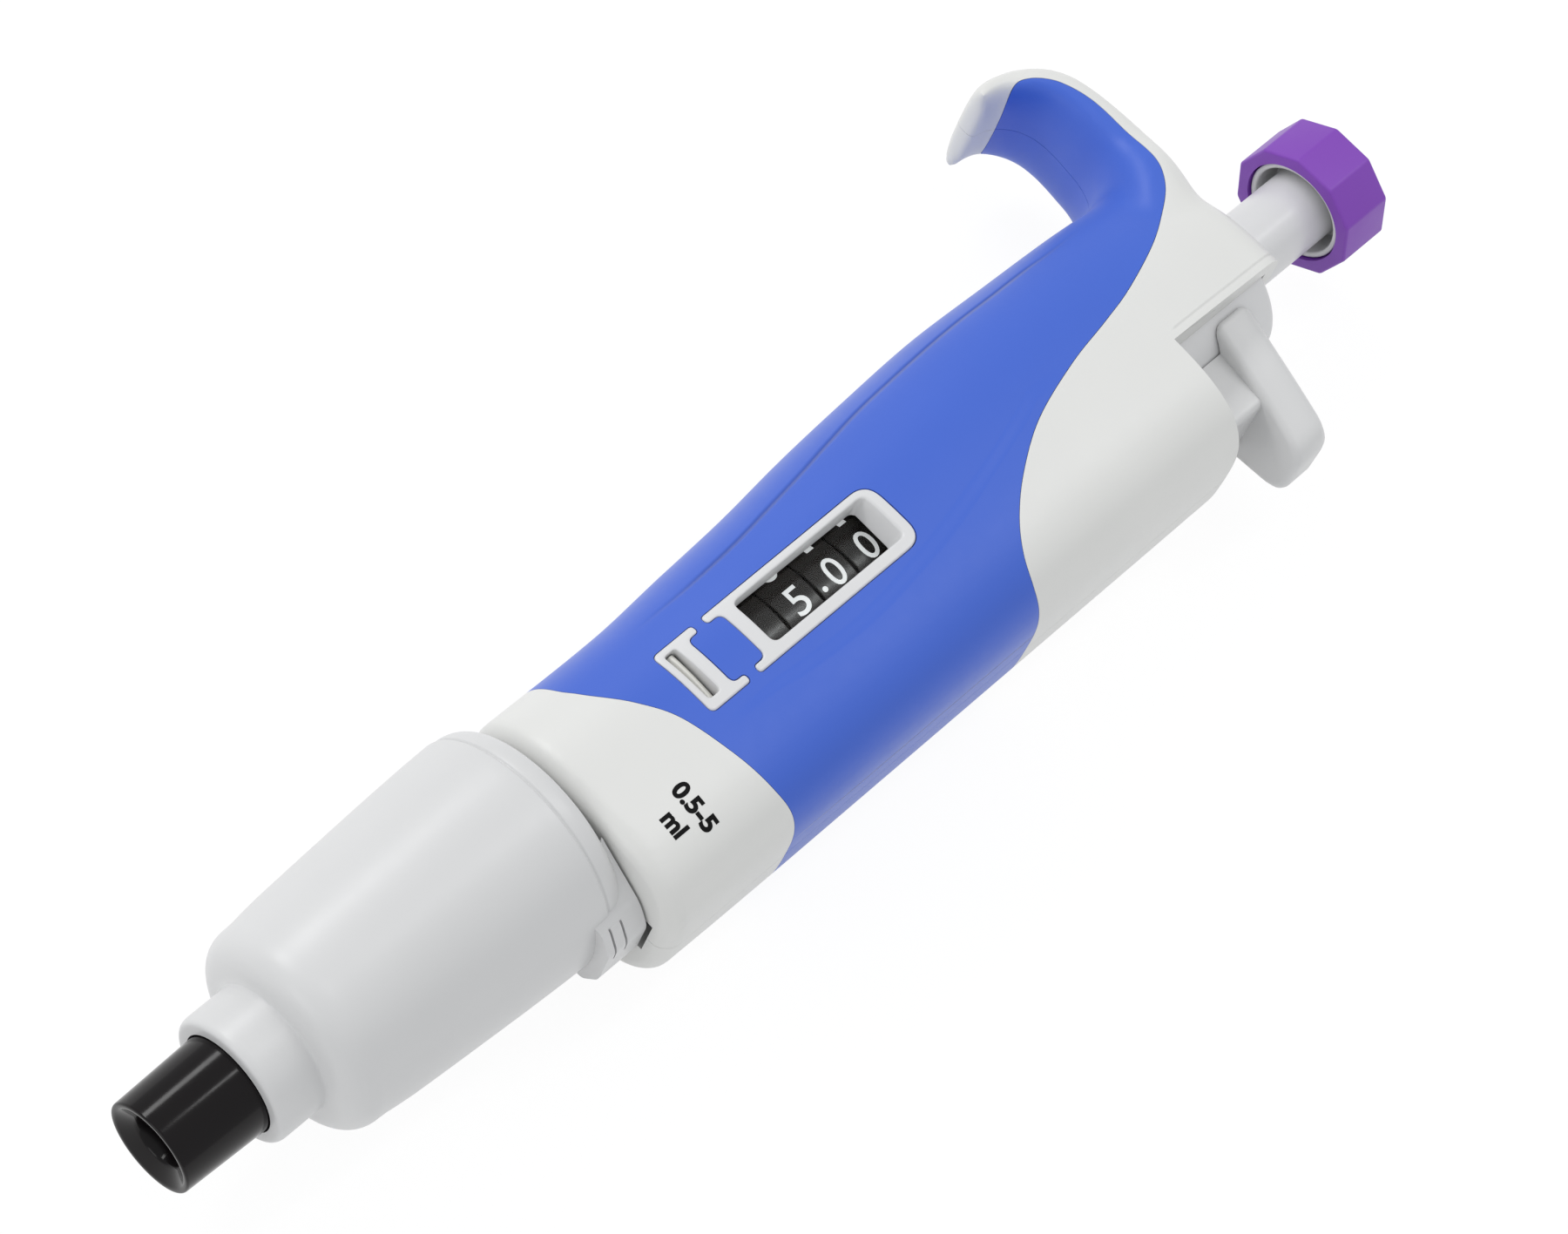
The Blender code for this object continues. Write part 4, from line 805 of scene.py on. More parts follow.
def mark_lines(mesh, lipped):
    """Write how far each point lies from the moulded lines, for the finish to draw them."""
    groove = mesh.attributes.new("groove", "FLOAT_VECTOR", "POINT")
    ledge = mesh.attributes.new("ledge", "FLOAT_VECTOR", "POINT")
    for index, vert in enumerate(mesh.vertices):
        x, y, z = vert.co
        front = 1.0 if z > LINES_ABOVE else 0.0
        line_y, fade = line_position(GROOVE_LINE, x)
        groove.data[index].vector = (y - line_y, fade * front, 0.0)
        if lipped:
            share = (LIP_TOP - y) / (LIP_TOP - LIP_FLAT)
            lip_fade = front * min(max((x - NOTCH_START) / LIP_FADE, 0.0), 1.0)
            ledge.data[index].vector = (share, lip_fade, 0.0)
            continue
        upper, fade = line_position(LEDGE_UPPER, x)
        lower = value_at(LEDGE_LOWER, x)
        ledge.data[index].vector = ((upper - y) / (upper - lower), fade * front, 0.0)


class PIPETTE_OT_handle(bpy.types.Operator):
    """Build the two housing shells and the soft grip let into each"""

    bl_idname = "pipette.handle"
    bl_label = "Handle and grip"

    def execute(self, context):
        sizes = context.scene.pipette_sizes
        gap = sizes.joint_gap / MM
        form = handle_form(sizes.skin_cell / MM)
        floor = inner_forms(GRIP_DEPTH)
        recess = carved(plate(grown(grip_outline(), gap / 2), -60.0, 60.0), remove=floor)
        grip_area = plate(grown(grip_outline(), -gap / 2), -60.0, 60.0)
        bore = rod(0.0, TUBE_BORE_END, TUBE_RADIUS + TUBE_CLEARANCE)
        shaft_hole = eased([(84.0, 0.0, 0), (84.0, SHAFT_HOLE, 0), (260.0, SHAFT_HOLE, 0), (260.0, 0.0, 0)])
        shaft_hole = turned(shaft_hole, 96)
        channel = box(*ROD_CHANNEL)
        mouth = box(*ROD_MOUTH)
        notch = box((NOTCH_START, -60.0, -60.0), (FAR, NOTCH_EDGE, 60.0))
        windows = [plate(grown(frame_outline(part), 0.12), 0.0, 60.0) for part in (BEZEL, LATCH)]
        front = box((-10.0, -80.0, gap / 2), (FAR, 80.0, 60.0))
        back = box((-10.0, -80.0, BACK_FLAT), (FAR, 80.0, -gap / 2))
        for name, side, extra in (("front", front, windows), ("rear", back, [])):
            half = carved(form.copy(), keep=[side])
            cuts = [recess, bore, channel, mouth, notch, shaft_hole, *extra]
            shell = carved(half.copy(), remove=cuts)
            mark_lines(shell, True)
            white = finish_of("housing_white")
            settle(name + "_shell", shell, white, "handle", ["housing_" + name])
            grip = carved(half, keep=[grip_area], remove=[*inner_forms(GRIP_DEPTH - 0.3), *extra])
            mark_lines(grip, False)
            settle(name + "_grip", grip, finish_of("grip_blue"), "handle", ["grip_" + name])
        return {"FINISHED"}


# Window frames


def frame_outline(part):
    """A window frame seen from the front: a rounded end, and two prongs at the other."""
    low, high = FRAME_SIDES
    prongs_first = part["prong_end"] < part["start"]
    inner = part["start"] if prongs_first else part["end"]
    outer = part["end"] if prongs_first else part["start"]
    tip, corner = part["prong_end"], part["corner"]
    corners = [
        (tip, low, 0.6),
        (outer, low, corner),
        (outer, high, corner),
        (tip, high, 0.6),
        (tip, high - PRONG_WIDTH, 0.6),
        (inner, high - PRONG_WIDTH, 1.2),
        (inner, low + PRONG_WIDTH, 1.2),
        (tip, low + PRONG_WIDTH, 0.6),
    ]
    return eased(corners, 8)


def soft_plate(outlines):
    """A plate with rounded edges, from a flat outline and the holes in it. Its face lies at z = 0."""
    curve = bpy.data.curves.new("plate", "CURVE")
    curve.dimensions = "2D"
    curve.fill_mode = "BOTH"
    curve.extrude = FRAME_DEPTH / 2 - FRAME_EDGE
    curve.bevel_depth = FRAME_EDGE
    curve.bevel_resolution = 3
    curve.offset = -FRAME_EDGE
    for outline in outlines:
        spline = curve.splines.new("POLY")
        spline.points.add(len(outline) - 1)
        for point, (x, y) in zip(spline.points, outline):
            point.co = (x, y, 0.0, 1.0)
        spline.use_cyclic_u = True
    bm = bmesh.new()
    bm.from_mesh(finished(scratch("plate", curve)))
    bmesh.ops.remove_doubles(bm, verts=bm.verts, dist=1e-4)
    bmesh.ops.translate(bm, verts=bm.verts, vec=(0.0, 0.0, -FRAME_DEPTH / 2))
    return to_mesh(bm)


def rounded_rectangle(rectangle, corner):
    x0, x1, y0, y1 = rectangle
    return eased([(x0, y0, corner), (x1, y0, corner), (x1, y1, corner), (x0, y1, corner)])


def crowned_frame(part, rectangle, lean, corner):
    """A frame with soft edges, laid over the handle's crown. Its knob end and its hook side lean in."""
    x0, x1, y0, y1 = rectangle
    opening = rounded_rectangle(rectangle, corner)
    mesh = sliced(sliced(soft_plate([frame_outline(part), opening]), 0, 1.5), 1, 1.0)

    def crown(point):
        deep = -point.z / FRAME_DEPTH
        x, y = point.x, point.y
        if y0 - 0.1 < y < y1 + 0.1 and abs(x - x1) < 0.5 + corner / 2:
            x -= lean[0] * deep
        if x0 - 0.1 < x < x1 + 0.1 and abs(y - y1) < 0.5:
            y -= lean[1] * deep
        top = crown_height(point.x, point.y) + 0.15
        return Vector((x, y, top + (FRAME_FLOOR - top) * deep))

    return reshaped(mesh, crown)


class PIPETTE_OT_windows(bpy.types.Operator):
    """Build the counter's frame and window, and the latch's frame and tongue"""

    bl_idname = "pipette.windows"
    bl_label = "Window frames"

    def execute(self, context):
        white = finish_of("frame_white")
        bezel = crowned_frame(BEZEL, OPENING, OPENING_LEAN, 1.2)
        settle("counter_frame", bezel, white, "handle", ["counter_bezel"], 50.0)
        latch = crowned_frame(LATCH, LATCH_SLOT, LATCH_LEAN, 0.6)
        settle("latch_frame", latch, white, "handle", ["latch_bezel"], 50.0)
        x0, x1, y0, y1 = LATCH_SLOT
        profile = eased(
            [(x0 + 0.3, 13.0, 0), (x1 - 0.3, 13.0, 0), (x1 - 0.3, 13.9, 0.5), (x0 + 0.9, 14.8, 0.6)]
        )
        rings = [[(x, y, z) for x, z in profile] for y in (y0 + 0.3, y1 - 0.3)]
        bm = bmesh.new()
        loft_into(bm, rings)
        bow = sliced(to_mesh(bm), 1, 0.4)
        reshaped(bow, lambda p: Vector((p.x, p.y, 13.0 + (p.z - 13.0) * (1 - 0.018 * p.y * p.y))))
        settle("latch_slider", bow, finish_of("piston_white"), "handle", ["latch_tongue"])
        lens = plate(rounded_rectangle(PANE, 0.6), *PANE_HEIGHTS)
        settle("counter_pane", lens, finish_of("lens_clear"), "handle", ["counter_lens"])
        return {"FINISHED"}


# Counter


def lettering(text, height, width=None, weight=0.0):
    """Flat lettering, centred, as a mesh of the given height."""
    curve = bpy.data.curves.new("lettering", "FONT")
    curve.body = text
    curve.offset = weight
    curve.resolution_u = 5
    curve.fill_mode = "FRONT"
    mesh = finished(scratch("lettering", curve))
    bm = bmesh.new()
    bm.from_mesh(mesh)
    bmesh.ops.remove_doubles(bm, verts=bm.verts, dist=1e-5)
    xs = [vert.co.x for vert in bm.verts]
    ys = [vert.co.y for vert in bm.verts]
    tall = height / (max(ys) - min(ys))
    wide = width / (max(xs) - min(xs)) if width else tall
    middle = ((max(xs) + min(xs)) / 2, (max(ys) + min(ys)) / 2)
    for vert in bm.verts:
        vert.co = Vector(((vert.co.x - middle[0]) * wide, (vert.co.y - middle[1]) * tall, 0.0))
    return to_mesh(bm)


def thickened(mesh, thickness):
    bm = bmesh.new()
    bm.from_mesh(mesh)
    bmesh.ops.solidify(bm, geom=bm.faces[:], thickness=thickness)
    return to_mesh(bm)


def wrapped_digit(digit, point_mark, x_middle, height, width):
    """One digit laid round the wheel's rim at the reading line, some with a decimal point."""
    shapes = [lettering(str(digit), height, width * (NARROW_ONE if digit == 1 else 1.0), DIGIT_WEIGHT)]
    if point_mark:
        x, y, radius = POINT_MARK
        dot = [(radius * math.cos(a) + x, radius * math.sin(a) + y) for a in round_angles(20)]
        shapes.append(plate(dot, -0.01, 0.0))
    bm = bmesh.new()
    for shape in shapes:
        bm.from_mesh(shape)
    sheet = sliced(to_mesh(bm), 1, 0.35)
    solid = thickened(sheet, 0.06)

    def wrap(point):
        angle = (point.y + READING_LINE) / WHEEL_RADIUS
        radius = WHEEL_RADIUS + 0.03 + point.z
        return Vector((x_middle + point.x, radius * math.sin(angle), radius * math.cos(angle)))

    return reshaped(solid, wrap)


def round_angles(count):
    return [2 * math.pi * i / count for i in range(count)]


def new_tree(name, kinds):
    """A geometry tree with a named input of each kind, and its input and output nodes."""
    tree = bpy.data.node_groups.new(name, "GeometryNodeTree")
    tree.interface.new_socket("Geometry", in_out="INPUT", socket_type="NodeSocketGeometry")
    for label, kind in kinds.items():
        tree.interface.new_socket(label, in_out="INPUT", socket_type="NodeSocket" + kind)
    tree.interface.new_socket("Geometry", in_out="OUTPUT", socket_type="NodeSocketGeometry")
    return tree, tree.nodes.new("NodeGroupInput"), tree.nodes.new("NodeGroupOutput")


def close_tree(tree, source, finish, output):
    """End a tree in plain geometry with its finish."""
    realize = tree.nodes.new("GeometryNodeRealizeInstances")
    dress = tree.nodes.new("GeometryNodeSetMaterial")
    tree.links.new(source, realize.inputs["Geometry"])
    tree.links.new(realize.outputs["Geometry"], dress.inputs["Geometry"])
    tree.links.new(finish, dress.inputs["Material"])
    tree.links.new(dress.outputs["Geometry"], output.inputs["Geometry"])


def ring_of_shapes_tree():
    """Shapes of a collection turned one after the other about the x axis, as digits round a wheel."""
    kinds = {"Shapes": "Collection", "Count": "Int", "First": "Int", "Step": "Float", "Finish": "Material"}
    tree, given, output = new_tree("ring_of_shapes", kinds)
    nodes, links = tree.nodes, tree.links
    points = nodes.new("GeometryNodeMeshLine")
    links.new(given.outputs["Count"], points.inputs["Count"])
    points.inputs["Offset"].default_value = (0.0, 0.0, 0.0)
    shapes = nodes.new("GeometryNodeCollectionInfo")
    shapes.inputs["Separate Children"].default_value = True
    links.new(given.outputs["Shapes"], shapes.inputs["Collection"])
    index = nodes.new("GeometryNodeInputIndex")
    ahead = math_node(nodes, links, "SUBTRACT", index.outputs["Index"], given.outputs["First"])
    turn = math_node(nodes, links, "MULTIPLY", ahead, given.outputs["Step"])
    axis = nodes.new("ShaderNodeCombineXYZ")
    links.new(turn, axis.inputs["X"])
    rotation = nodes.new("FunctionNodeEulerToRotation")
    links.new(axis.outputs["Vector"], rotation.inputs["Euler"])
    spread = nodes.new("GeometryNodeInstanceOnPoints")
    spread.inputs["Pick Instance"].default_value = True
    links.new(points.outputs["Mesh"], spread.inputs["Points"])
    links.new(shapes.outputs["Instances"], spread.inputs["Instance"])
    links.new(index.outputs["Index"], spread.inputs["Instance Index"])
    links.new(rotation.outputs["Rotation"], spread.inputs["Rotation"])
    close_tree(tree, spread.outputs["Instances"], given.outputs["Finish"], output)
    return tree


def coil_tree():
    """A coil spring along z, from its turns, radius, length and wire."""
    kinds = {"Turns": "Float", "Radius": "Float", "Length": "Float", "Wire": "Float", "Finish": "Material"}
    tree, given, output = new_tree("coil_spring", kinds)
    nodes, links = tree.nodes, tree.links
    spiral = nodes.new("GeometryNodeCurveSpiral")
    spiral.inputs["Resolution"].default_value = 40
    links.new(given.outputs["Turns"], spiral.inputs["Rotations"])
    links.new(given.outputs["Radius"], spiral.inputs["Start Radius"])
    links.new(given.outputs["Radius"], spiral.inputs["End Radius"])
    links.new(given.outputs["Length"], spiral.inputs["Height"])
    wire = nodes.new("GeometryNodeCurvePrimitiveCircle")
    wire.inputs["Resolution"].default_value = 12
    links.new(given.outputs["Wire"], wire.inputs["Radius"])
    sweep = nodes.new("GeometryNodeCurveToMesh")
    sweep.inputs["Fill Caps"].default_value = True
    links.new(spiral.outputs["Curve"], sweep.inputs["Curve"])
    links.new(wire.outputs["Curve"], sweep.inputs["Profile Curve"])
    close_tree(tree, sweep.outputs["Mesh"], given.outputs["Finish"], output)
    return tree


def grow(tree, values):
    """The plain mesh that a tree makes, with its named inputs set before it is first evaluated."""
    holder = bpy.data.objects.new("grown", bpy.data.meshes.new("grown"))
    modifier = holder.modifiers.new("shape", "NODES")
    modifier.node_group = tree
    for label, value in values.items():
        modifier[tree.interface.items_tree[label].identifier] = value
    bpy.context.scene.collection.objects.link(holder)
    return finished(holder)


class PIPETTE_OT_counter(bpy.types.Operator):
    """Build the blank drum and the three number wheels with their digits"""

    bl_idname = "pipette.counter"
    bl_label = "Number wheels"

    def execute(self, context):
        sizes = context.scene.pipette_sizes
        tree = ring_of_shapes_tree()
        bodies = {"ones": "ones_wheel", "tenths": "tenths_wheel", "hundredths": "setting_drive"}
        wheel_finish = finish_of("wheel_black")
        for index, (name, shown) in enumerate((("blank", None), *WHEELS)):
            middle = FIRST_WHEEL + (index - 1) * WHEEL_PITCH
            mesh = turned(eased(wheel_corners(middle)))
            if shown is None:
                settle("counter_end_drum", mesh, wheel_finish, "handle", ["blank_drum"])
                continue
            body = bodies[name]
            settle("wheel_" + name, mesh, wheel_finish, body, ["number_wheel_" + name])
            shapes = bpy.data.collections.new("digits_" + name)
            for digit in range(10):
                shape = wrapped_digit(
                    digit,
                    name == "tenths",
                    middle + DIGIT_SHIFTS[name],
                    sizes.digit_height / MM,
                    sizes.digit_width / MM,
                )
                shapes.objects.link(bpy.data.objects.new(f"{name}_digit_{digit}", shape))
            # The digits' finish is white paint that also glows a little: painted light.
            paint_and_glow = finish_of("digit_paint")
            ring = grow(
                tree,
                {"Shapes": shapes, "Count": 10, "First": shown, "Step": -math.pi / 5, "Finish": paint_and_glow},
            )
            for obj in list(shapes.objects):
                bpy.data.objects.remove(obj)
            bpy.data.collections.remove(shapes)
            settle("digits_" + name, ring, paint_and_glow, body)
        return {"FINISHED"}


def wheel_corners(middle):
    half = (WHEEL_PITCH - 0.3) / 2
    rim = WHEEL_RADIUS - 1.6
    bore = HUB_RADIUS + 0.3
    side = [(1.1, bore, 0.0), (1.1, rim, 0.3), (half, rim, 0.1), (half, WHEEL_RADIUS, 0.28)]
    near = [(middle - along, radius, ease) for along, radius, ease in side]
    return near + [(middle + along, radius, ease) for along, radius, ease in reversed(side)]


class PIPETTE_OT_legend(bpy.types.Operator):
    """Print the volume range on the housing"""

    bl_idname = "pipette.legend"
    bl_label = "Volume range"

    def execute(self, context):
        scene = context.scene
        for name, text, x, y, height in (
            ("legend_range", scene.pipette_sizes.range_text, 79.1, -13.8, 2.8),
            ("legend_unit", "ml", 75.2, -13.9, 2.7),
        ):
            flat = lettering(text, height, weight=LEGEND_WEIGHT)
            reshaped(flat, lambda p, x=x, y=y: Vector((x + p.y, y - p.x, 0.0)))
            sheet = thickened(sliced(sliced(flat, 0, 0.8), 1, 0.8), 0.05)
            reshaped(sheet, lambda p: Vector((p.x, p.y, crown_height(p.x, p.y) + 0.03 + p.z)))
            settle(name, sheet, finish_of("legend_ink"), "handle")
        return {"FINISHED"}


# Nozzle end


class PIPETTE_OT_nozzle(bpy.types.Operator):
    """Build the tip cone with its air cylinder"""

    bl_idname = "pipette.nozzle"
    bl_label = "Tip cone"

    def execute(self, context):
        corners = [
            (3.9, 3.0, 0.0), (0.6, 4.05, 0.3), (-0.8, 6.35, 0.3), (-0.8, 7.1, 0.4), (12.6, 7.5, 2.0),
            (21.2, 7.55, 1.0), (23.2, 7.8, 0.8), (27.2, 12.7, 1.2), (83.7, 12.7, 0.3),
            (83.7, 11.5, 0.2), (30.0, 11.5, 0.0), (30.0, 3.0, 0.0),
        ]
        mesh = turned(eased(corners, 8))
        black = finish_of("nozzle_black")
        settle("tip_cone", mesh, black, "handle", ["nozzle_cylinder"], 50.0)
        return {"FINISHED"}


def sleeve_profile():
    """Lip, collar, rounded shoulder, belly, moulded line and rounded rim."""
    lip = eased(
        [(12.6, 7.7, 0.3), (12.6, 9.8, 1.4), (20.2, 9.8, 0.7), (20.45, 10.3, 0.0), (12.6, 7.7, 0.0)], 8
    )[:-2]
    shoulder = []
    for i in range(1, 19):
        angle = math.pi / 2 * i / 18
        along = signed_power(math.cos(angle), 2 / SHOULDER_POWER)
        out = signed_power(math.sin(angle), 2 / SHOULDER_POWER)
        shoulder.append((25.2 - 4.7 * along, 10.4 + 5.1 * out))
    belly = [
        (x, value_at(((25.2, 15.5), (30.0, 16.0), (40.8, 16.7), (53.2, 17.4), (63.0, 17.72)), x))
        for x in (26.5, 28.5, 31.0, 34.0, 38.0, 42.0, 46.0, 50.0, 54.0, 58.0, 61.0, 62.8)
    ]
    line = [(63.0, 17.68), (63.15, 17.45), (63.35, 17.35), (63.5, 17.40), (63.6, 17.5)]
    rim = []
    for i in range(13):
        angle = math.pi / 2 * i / 12
        rim.append((63.7 + 3.2 * math.sin(angle), 15.3 + 2.22 * math.cos(angle) ** 0.8))
    inner = [
        (66.9, 13.0), (60.7, 13.0), (53.2, 15.5), (40.8, 14.8), (30.0, 14.1), (27.9, 13.0),
        (26.2, 13.0), (21.6, 7.9),
    ]
    return lip + shoulder + belly + line + rim + inner


def boss_ring(x, web_depth, web_half_width, ease):
    """A section of the rod's boss, with its flanks running out to a web on the sleeve."""
    side = [(-web_depth, web_half_width, 0.3), (-17.6, 7.0, ease), (-19.8, 3.6, 1.0)]
    return [(x, y, z) for y, z in eased(mirrored(side))]


class PIPETTE_OT_sleeve(bpy.types.Operator):
    """Build the sleeve that pushes the tip off, with its boss for the rod"""

    bl_idname = "pipette.sleeve"
    bl_label = "Ejector sleeve"

    def execute(self, context):
        bm = bmesh.new()
        loft_into(bm, [boss_ring(60.5, 14.6, 7.0, 0.8), boss_ring(67.6, 8.6, 12.8, 1.6)])
        boss = carved(
            to_mesh(bm),
            remove=[
                rod(50.0, 80.0, 14.6),
                *[box((x, -24.0, 1.4), (x + BOSS_SLOT, -17.4, 20.0)) for x in BOSS_SLOTS],
            ],
        )
        socket = rod(62.2, 80.0, ROD_SOCKET, 48, ROD_LINE)
        body = carved(joined(turned(sleeve_profile()), boss), remove=[socket])
        grey = finish_of("sleeve_grey")
        settle("tip_sleeve", body, grey, "ejector", ["ejector_sleeve"], 40.0)
        return {"FINISHED"}


# Ejector lever


def lever_pad_rings():
    """Thumb pad: widest beside the tube, narrowing to a rounded end, and slanting to its outer end."""
    rings = []
    for x, draw in PAD_SECTIONS:
        side = [(-7.9 - draw, 10.9 - draw, 1.0), (-21.2, 7.9 - draw, 5.0), (-30.0 + draw, 5.6 - draw, 3.2)]
        outline = eased(mirrored(side), 8)
        rings.append([(x + PAD_SLANT * (y + 9.5), y, z) for y, z in outline])
    return rings


class PIPETTE_OT_lever(bpy.types.Operator):
    """Build the ejector lever: a stem in the notch and the thumb pad"""

    bl_idname = "pipette.lever"
    bl_label = "Ejector lever"

    def execute(self, context):
        bm = bmesh.new()
        loft_into(bm, lever_pad_rings())
        pad = to_mesh(bm)
        rings = []
        for x in (176.0, 176.4, 195.5):
            draw = 0.4 if x < 176.2 else 0.0
            side = [(-9.5, 7.2 - draw, 0.3), (-20.3 + draw, 7.2 - draw, 1.2)]
            rings.append([(x, y, z) for y, z in eased(mirrored(side))])
        bm = bmesh.new()
        loft_into(bm, rings)
        stem = to_mesh(bm)
        clearance = rod(84.0, FAR, 13.0, 128)
        socket = rod(160.0, 180.0, ROD_SOCKET, 48, ROD_LINE)
        body = carved(joined(pad, stem), remove=[clearance, socket])
        grey = finish_of("sleeve_grey")
        settle("eject_lever", body, grey, "ejector", ["ejector_lever"], 32.0)
        return {"FINISHED"}


# Plunger top


def knob_ring(x, radius, sides=10, corner=0.35):
    """A ten-sided section with a flat towards the window."""
    corners = []
    for i in range(sides):
        angle = 2 * math.pi * (i + 0.5) / sides
        corners.append((radius * math.sin(angle), radius * math.cos(angle), corner))
    return [(x, y, z) for y, z in eased(corners, 4)]


class PIPETTE_OT_knob(bpy.types.Operator):
    """Build the ten-sided knob, its insert and the push shaft"""

    bl_idname = "pipette.knob"
    bl_label = "Knob and shaft"

    def execute(self, context):
        rings = []
        for end, inwards, rising in ((KNOB_LOW, KNOB_EDGE, False), (KNOB_HIGH, -KNOB_EDGE, True)):
            for angle in quarter(rising):
                draw = KNOB_EDGE * (1 - math.cos(angle))
                rings.append(knob_ring(end + inwards * (1 - math.sin(angle)), KNOB_RADIUS - draw))
        bm = bmesh.new()
        loft_into(bm, rings)
        hollow = turned(eased([(200.0, 0.0, 0), (200.0, 8.3, 0), (232.0, 8.3, 0), (232.0, 0.0, 0)]), 96)
        cap = carved(to_mesh(bm), remove=[hollow])
        settle("dial_knob", cap, finish_of("knob_purple"), "knob", ["knob_cap"], 22.0)
        white = finish_of("frame_white")
        insert = [
            (224.6, 0.0, 0.0), (224.6, 2.4, 0.2), (229.9, 2.4, 0.2), (229.9, 7.2, 0.3),
            (224.7, 7.2, 0.5), (224.7, 8.1, 0.3), (231.7, 8.1, 0.2), (231.7, 0.0, 0.0),
        ]
        settle("knob_collar", turned(eased(insert)), white, "knob", ["knob_insert"])
        start, end = SHAFT_LOW_X, SHAFT_HIGH_X
        shaft = [
            (start + 8.3, 0.0, 0.0), (start + 8.3, 3.6, 0.0), (start, 3.6, 0.2), (start, 6.2, 0.3),
            (start + 3.0, 6.2, 0.3), (start + 3.0, SHAFT_RADIUS, 0.1), (end, SHAFT_RADIUS, 0.5),
            (end, 2.7, 0.1), (end - 5.3, 2.7, 0.0), (end - 5.3, 0.0, 0.0),
        ]
        settle("plunger_shaft", turned(eased(shaft)), white, "knob", ["push_shaft"])
        return {"FINISHED"}


def quarter(rising, steps=5):
    """Angles from level to upright in even steps, or the other way round."""
    angles = [math.pi / 2 * i / steps for i in range(steps + 1)]
    return angles if rising else angles[::-1]


def axis_span(node):
    """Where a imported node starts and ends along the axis, in millimetres on the pipette's axis."""
    low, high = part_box(node)
    return (low[0] - AXIS_START.x) / MM, (high[0] - AXIS_START.x) / MM


SHAFT_LOW_X, SHAFT_HIGH_X = axis_span("push_shaft")


# Inner works


class PIPETTE_OT_core(bpy.types.Operator):
    """Build the inner tube, the shaft's bush and the three coil springs"""

    bl_idname = "pipette.core"
    bl_label = "Tube and springs"

    def execute(self, context):
        tube = [
            (58.0, 2.8, 0.0), (58.0, 11.2, 0.3), (84.0, 11.2, 0.0), (84.0, TUBE_RADIUS, 0.2),
            (204.7, TUBE_RADIUS, 0.8), (204.7, TUBE_BORE, 0.3), (85.5, TUBE_BORE, 0.0),
            (85.5, 9.7, 0.0), (60.0, 9.7, 0.0), (60.0, 2.8, 0.0),
        ]
        slot = box((103.2, -4.6, 0.0), (129.8, 4.6, 60.0))
        mesh = carved(turned(eased(tube)), remove=[slot])
        settle("inner_tube", mesh, finish_of("tube_grey"), "handle", ["chassis_tube"])
        tree = coil_tree()
        steel = finish_of("steel")
        for name, node, turns, radius, wire, line in (
            ("return_spring", "main_spring", 8.0, 5.6, 0.5, 0.0),
            ("second_spring", "blow_out_spring", 5.0, 8.2, 0.7, 0.0),
            ("lever_spring", "ejector_spring", 8.0, 2.9, 0.45, ROD_LINE),
        ):
            low, high = axis_span(node)
            length = high - low - 2 * wire
            values = {"Turns": turns, "Radius": radius, "Length": length, "Wire": wire, "Finish": steel}
            coil = grow(tree, values)
            reshaped(coil, lambda p, start=low + wire, y=line: Vector((start + p.z, p.x - y, -p.y)))
            settle(name, coil, steel, "handle", [node])
        return {"FINISHED"}


class PIPETTE_OT_inner_finishes(bpy.types.Operator):
    """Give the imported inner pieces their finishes"""

    bl_idname = "pipette.inner_finishes"
    bl_label = "Inner finishes"

    def execute(self, context):
        for part in frame["record"]["subparts"]:
            node = NODES[part["node"]]
            if node.hide_render:
                continue
            for slot in node.material_slots:
                slot.link = "OBJECT"
                slot.material = finish_of(part["material_slot"])
        return {"FINISHED"}


# Studio


def studio_floor(scene):
    """A pale floor that keeps the shadow, and shows near white to the camera and in reflections."""
    looks = scene.pipette_studio
    finish, nodes, links, shader = new_finish("studio_floor")
    tinted(nodes, links, shader, looks.floor_colour, 0.004, noise(nodes, links, 3.0))
    shader.inputs["Roughness"].default_value = 0.9
    glow = nodes.new("ShaderNodeEmission")
    glow.inputs["Strength"].default_value = 1.05
    path = nodes.new("ShaderNodeLightPath")
    seen = path.outputs["Is Camera Ray"]
    for ray in ("Is Glossy Ray", "Is Transmission Ray"):
        seen = math_node(nodes, links, "MAXIMUM", seen, path.outputs[ray])
    share = math_node(nodes, links, "MULTIPLY", seen, looks.floor_glow)
    mix = nodes.new("ShaderNodeMixShader")
    links.new(share, mix.inputs["Fac"])
    links.new(shader.outputs["BSDF"], mix.inputs[1])
    links.new(glow.outputs["Emission"], mix.inputs[2])
    links.new(mix.outputs["Shader"], nodes["Material Output"].inputs["Surface"])
    half = looks.floor_size / 2
    mesh = bpy.data.meshes.new("studio_floor")
    corners = [(half * x, half * y, FLOOR_LEVEL) for x, y in ((-1, -1), (1, -1), (1, 1), (-1, 1))]
    mesh.from_pydata(corners, [], [(0, 1, 2, 3)])
    mesh.materials.append(finish)
    floor = scratch("studio_floor", mesh)


